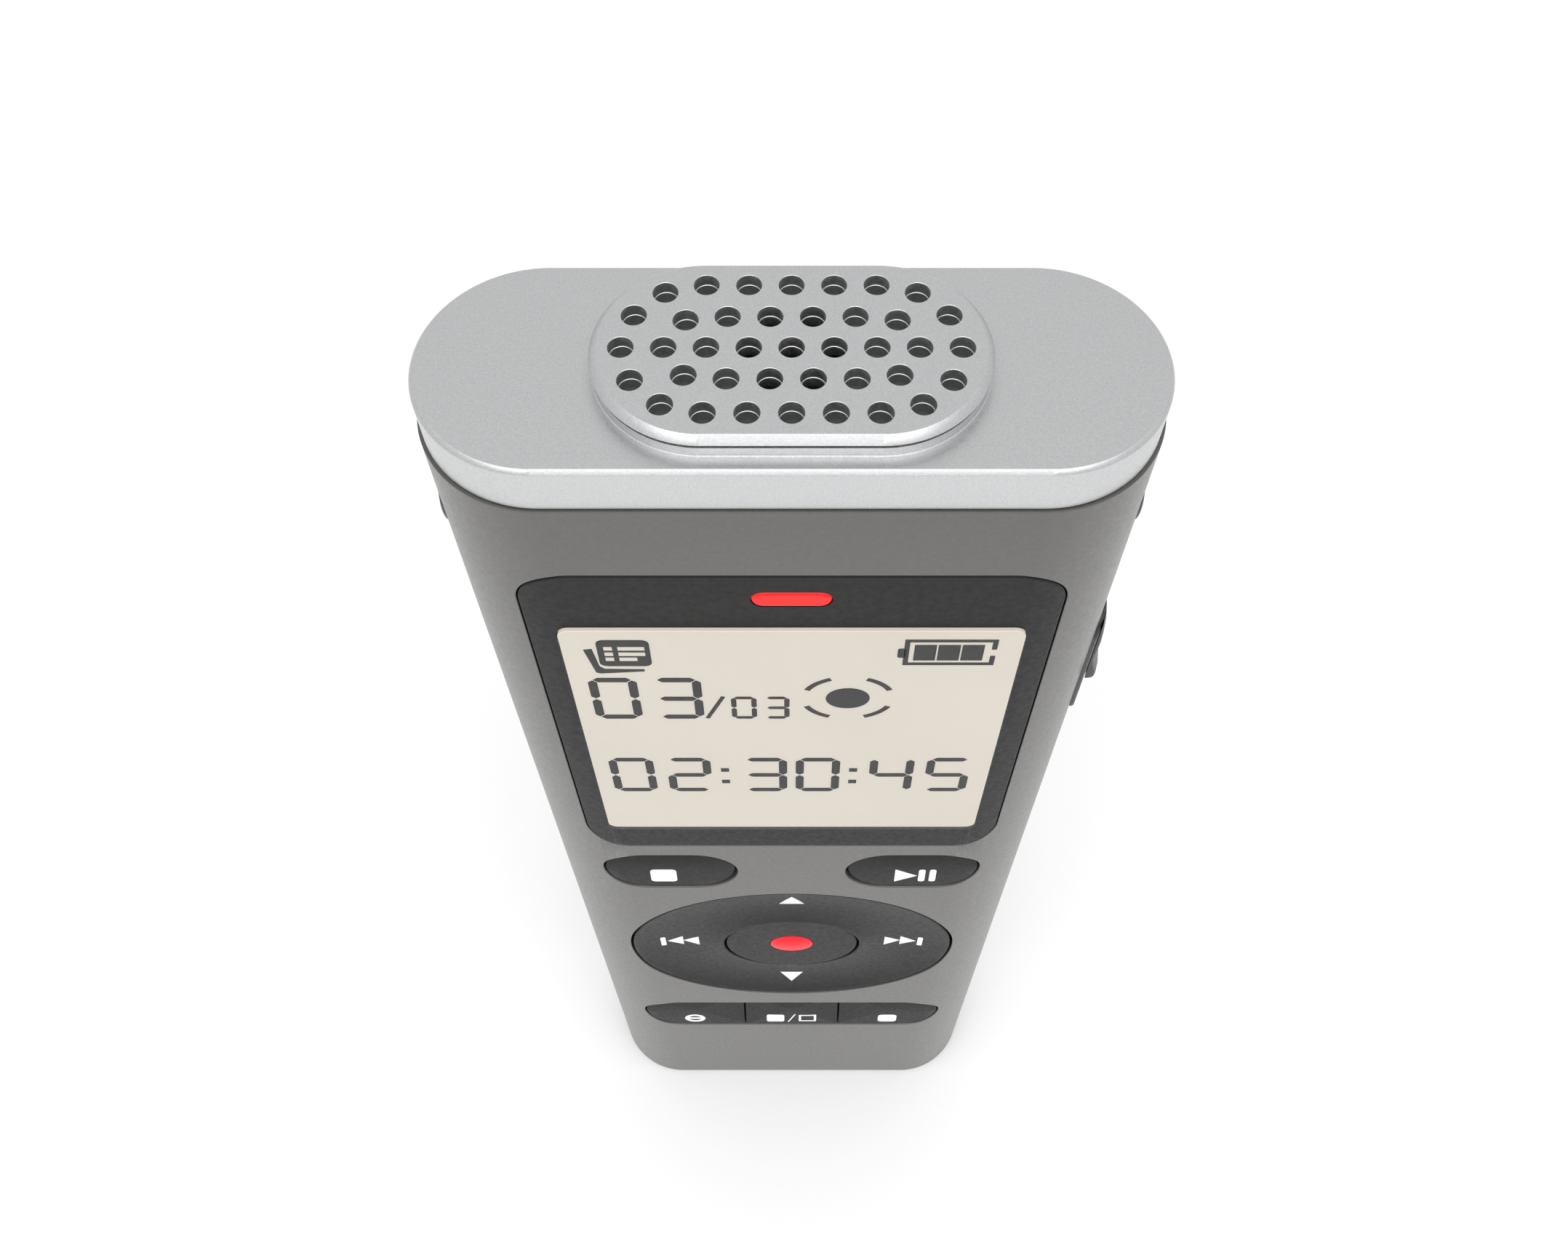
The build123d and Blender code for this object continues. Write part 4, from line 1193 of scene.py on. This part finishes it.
def leaned(obj):
    """Leans the front of the centre key, or its dot, back towards the top."""
    for vertex in obj.data.vertices:
        if vertex.co.y < (FRONT_Y + 1.0) * MM:
            vertex.co.y += (vertex.co.z - NAV_Z * MM) * tan(radians(RECORD_TILT))
    return obj


def record_key():
    """Round centre key: a flat face that turns down softly at its rim, with a seat for the dot."""
    face = FRONT_Y + RECORD_RECESS
    seat_r = DOT_R + 0.03
    middle_r = 0.05
    front, back = RECORD_FLANGE_Y
    flange_r = RECORD_R + 0.7
    profile = [(middle_r, face + DOT_SEAT), (seat_r, face + DOT_SEAT), (seat_r, face + 0.05)]
    profile += [(DOT_R + 0.09, face)]
    profile += [(radius, face) for radius in (2.6, 3.6, 4.6, 5.4)]
    profile += [(RECORD_R - side, face + deep) for side, deep in quarter(0.22, 6)]
    profile += [(RECORD_R, front), (flange_r, front), (flange_r, back), (STEM_R, back)]
    profile += [(STEM_R, STEM_END_Y), (middle_r, STEM_END_Y)]
    key = leaned(lathe_y("centre_key", 0, NAV_Z, profile))
    piece(key, "record_key", "key_charcoal", ["record_key"])


def record_dot():
    """Low red dome, a part of a ball, that stands in its seat."""
    face = FRONT_Y + RECORD_RECESS
    steps = 14
    ball_r = (DOT_R ** 2 + DOT_DOME ** 2) / (2 * DOT_DOME)
    profile = []
    for i in range(steps + 1):
        radius = max(0.02, DOT_R * i / steps)
        profile.append((radius, face - DOT_DOME + ball_r - sqrt(ball_r ** 2 - radius ** 2)))
    profile += [(DOT_R, face + 0.4), (0.02, face + 0.4)]
    dot = leaned(lathe_y("red_dot", 0, NAV_Z, profile))
    piece(dot, "record_key", "dot_red", ["record_dot"])


# ---- Sockets and switch ----
def socket_collars():
    """Turned collar of each audio socket, with a rounded lip and a countersunk mouth."""
    face = COLLAR_HIGH[0]
    back = COLLAR_LOW[0]
    for side, node in ((-1, "headphone_collar"), (1, "mic_collar")):
        outer = [(COLLAR_R - s, face - deep) for s, deep in quarter(0.3, 6)]
        mouth = [(JACK_BORE_R + s, face - deep) for s, deep in quarter(0.25, 5)]
        profile = [(JACK_BORE_R, back)] + mouth[::-1] + outer + [(COLLAR_R, back)]
        mirrored = [(radius, side * x) for radius, x in profile]
        piece(lathe_x(node + "_ring", 0, JACK_Z, mirrored, closed=True), "body", "socket_black", [node])


def side_solid(name, outline_yz, inner_x, levels):
    """Solid facing +X whose side follows the casing's round side: levels are (grow, depth)."""
    rings = [[(BODY_HIGH[0] + 2, y, z) for y, z in trace(outline_yz, levels[0][0])]]
    for grow, depth in levels:
        ring = []
        for y, z in trace(outline_yz, grow):
            out = sqrt((BODY_R + SURROUND_PROUD) ** 2 - y * y)
            ring.append((SIDE_AXIS_X + out - depth, y, z))
        rings.append(ring)
    rings.append([(inner_x, y, z) for y, z in trace(outline_yz, levels[-1][0])])
    return loft(name, rings)



def switch_surround():
    """Thin plate round the switch, with a slot for its neck."""
    half = SURROUND_HIGH[1]
    bottom, top = SURROUND_LOW[2], SURROUND_HIGH[2]
    plate = skin_band("switch_frame", SURROUND_PROUD, 0.0, bottom - 2, top + 2)
    outline = rounded(-half, half, bottom, top, half * 0.6, 14)
    levels = [(-side, deep) for side, deep in quarter(0.14)]
    common(plate, side_solid("plug", outline, 12.0, levels))
    cut(plate, switch_slot())
    piece(plate, "body", "socket_black", ["switch_surround"])


def switch_slider():
    """Thumb piece: a rounded pad with a ridge at its foot. Heights are (up, proud), both in mm."""
    bottom, top = SLIDER_LOW[2], SLIDER_HIGH[2]
    outer = BODY_HIGH[0]
    crest = SLIDER_HIGH[0] - outer
    half = SLIDER_HIGH[1]
    under_r = BODY_R + SURROUND_PROUD + 0.06
    ridge = [(0.0, crest - 0.1), (0.08, crest - 0.02), (0.3, crest)]
    ridge += [(0.8, crest - 0.08), (1.4, crest - 0.24)]
    pad = [(2.0, 0.6), (2.6, 0.55), (3.6, 0.59), (4.6, 0.61), (5.6, 0.56), (6.3, 0.48), (top - bottom, 0.37)]
    right_half = [(0.2, 0.0), (0.6, 0.0), (0.92, 0.02), (0.98, 0.09), (1.0, 0.3)]
    across = [(-part, drop) for part, drop in reversed(right_half)] + right_half
    rings = []
    for up, proud in ridge + pad:
        over, under = [], []
        for part, drop in across:
            y = part * half
            under_x = sqrt(under_r ** 2 - y * y) + SIDE_AXIS_X
            skin_x = sqrt(BODY_R ** 2 - y * y) + SIDE_AXIS_X
            over_x = max(skin_x + proud - drop * proud, under_x + 0.02)
            over.append((min(over_x, SLIDER_HIGH[0]), y, bottom + up))
            under.append((under_x, y, bottom + up))
        rings.append(over + under[::-1])
    slider = loft("slide_switch", rings)
    neck_bottom, neck_top = SWITCH_NECK_Z
    grown_with(slider, slab("neck", (SLIDER_LOW[0], -0.9, neck_bottom), (outer + 0.5, 0.9, neck_top)))
    piece(slider, "switch_slider", "socket_black", ["switch_slider"])


# ---- Everything else keeps its CAD shape ----
def dress_cad_nodes():
    """Gives every CAD mesh the material of its slot."""
    slots = {part["node"]: part["material_slot"] for part in frame["record"]["subparts"]}
    for node, obj in frame["nodes"].items():
        obj.data.materials.clear()
        obj.data.materials.append(MATERIALS[slots[node]])


# ---- Stage ----
def floor():
    """Wide white sheet under the recorder."""
    half = 3000.0
    points = [(-half, -half, 0), (half, -half, 0), (half, half, 0), (-half, half, 0)]
    plane = mesh_object("floor", points, [(0, 1, 2, 3)])
    paint = Paint("floor_white", (0.96, 0.96, 0.96), 0.8)
    paint.bump(paint.noise(0.3, 2), 0.02, 0.2)
    plane.data.materials.append(paint.material)


def soft_box(name, place, target, size, power):
    """Rectangular studio light, turned towards a target."""
    light = bpy.data.lights.new(name, "AREA")
    light.shape = "RECTANGLE"
    light.size, light.size_y = size
    light.energy = power
    obj = bpy.data.objects.new(name, light)
    obj.location = place
    obj.rotation_euler = (Vector(target) - Vector(place)).to_track_quat("-Z", "Y").to_euler()
    bpy.context.scene.collection.objects.link(obj)


def lights():
    """Even white surroundings, and one soft box above and in front."""
    world = bpy.data.worlds.new("studio")
    world.use_nodes = True
    background = world.node_tree.nodes["Background"]
    background.inputs["Color"].default_value = (1, 1, 1, 1)
    background.inputs["Strength"].default_value = 0.8
    bpy.context.scene.world = world
    bpy.context.scene.view_settings.view_transform = "Standard"
    soft_box("overhead", (0.0, -0.25, 0.6), (0, 0, 0.05), (0.7, 0.5), 2.2)


def camera():
    """Close above the upper end, looking steeply down along the front."""
    lens = bpy.data.cameras.new("view")
    lens.sensor_width = 36.0
    lens.sensor_fit = "HORIZONTAL"
    lens.lens = CAMERA_LENS
    lens.shift_x = CAMERA_SHIFT_X
    lens.clip_start = 0.005
    obj = bpy.data.objects.new("view", lens)
    obj.location = (0, CAMERA_Y, CAP_HIGH[2] * MM + CAMERA_ABOVE_CAP)
    obj.rotation_euler = (radians(CAMERA_TILT), 0, 0)
    bpy.context.scene.collection.objects.link(obj)
    bpy.context.scene.camera = obj


dress_cad_nodes()
front_shell()
rear_shell()
shell_screws()
top_cap()
grille_base()
grille_hole_shade()
grille_plate()
display_bezel()
screen_panes()
record_lamp_lens()
screen_marks()
upper_keys()
lower_keys()
nav_ring()
record_key()
record_dot()
key_marks()
socket_collars()
switch_surround()
switch_slider()
floor()
lights()
camera()
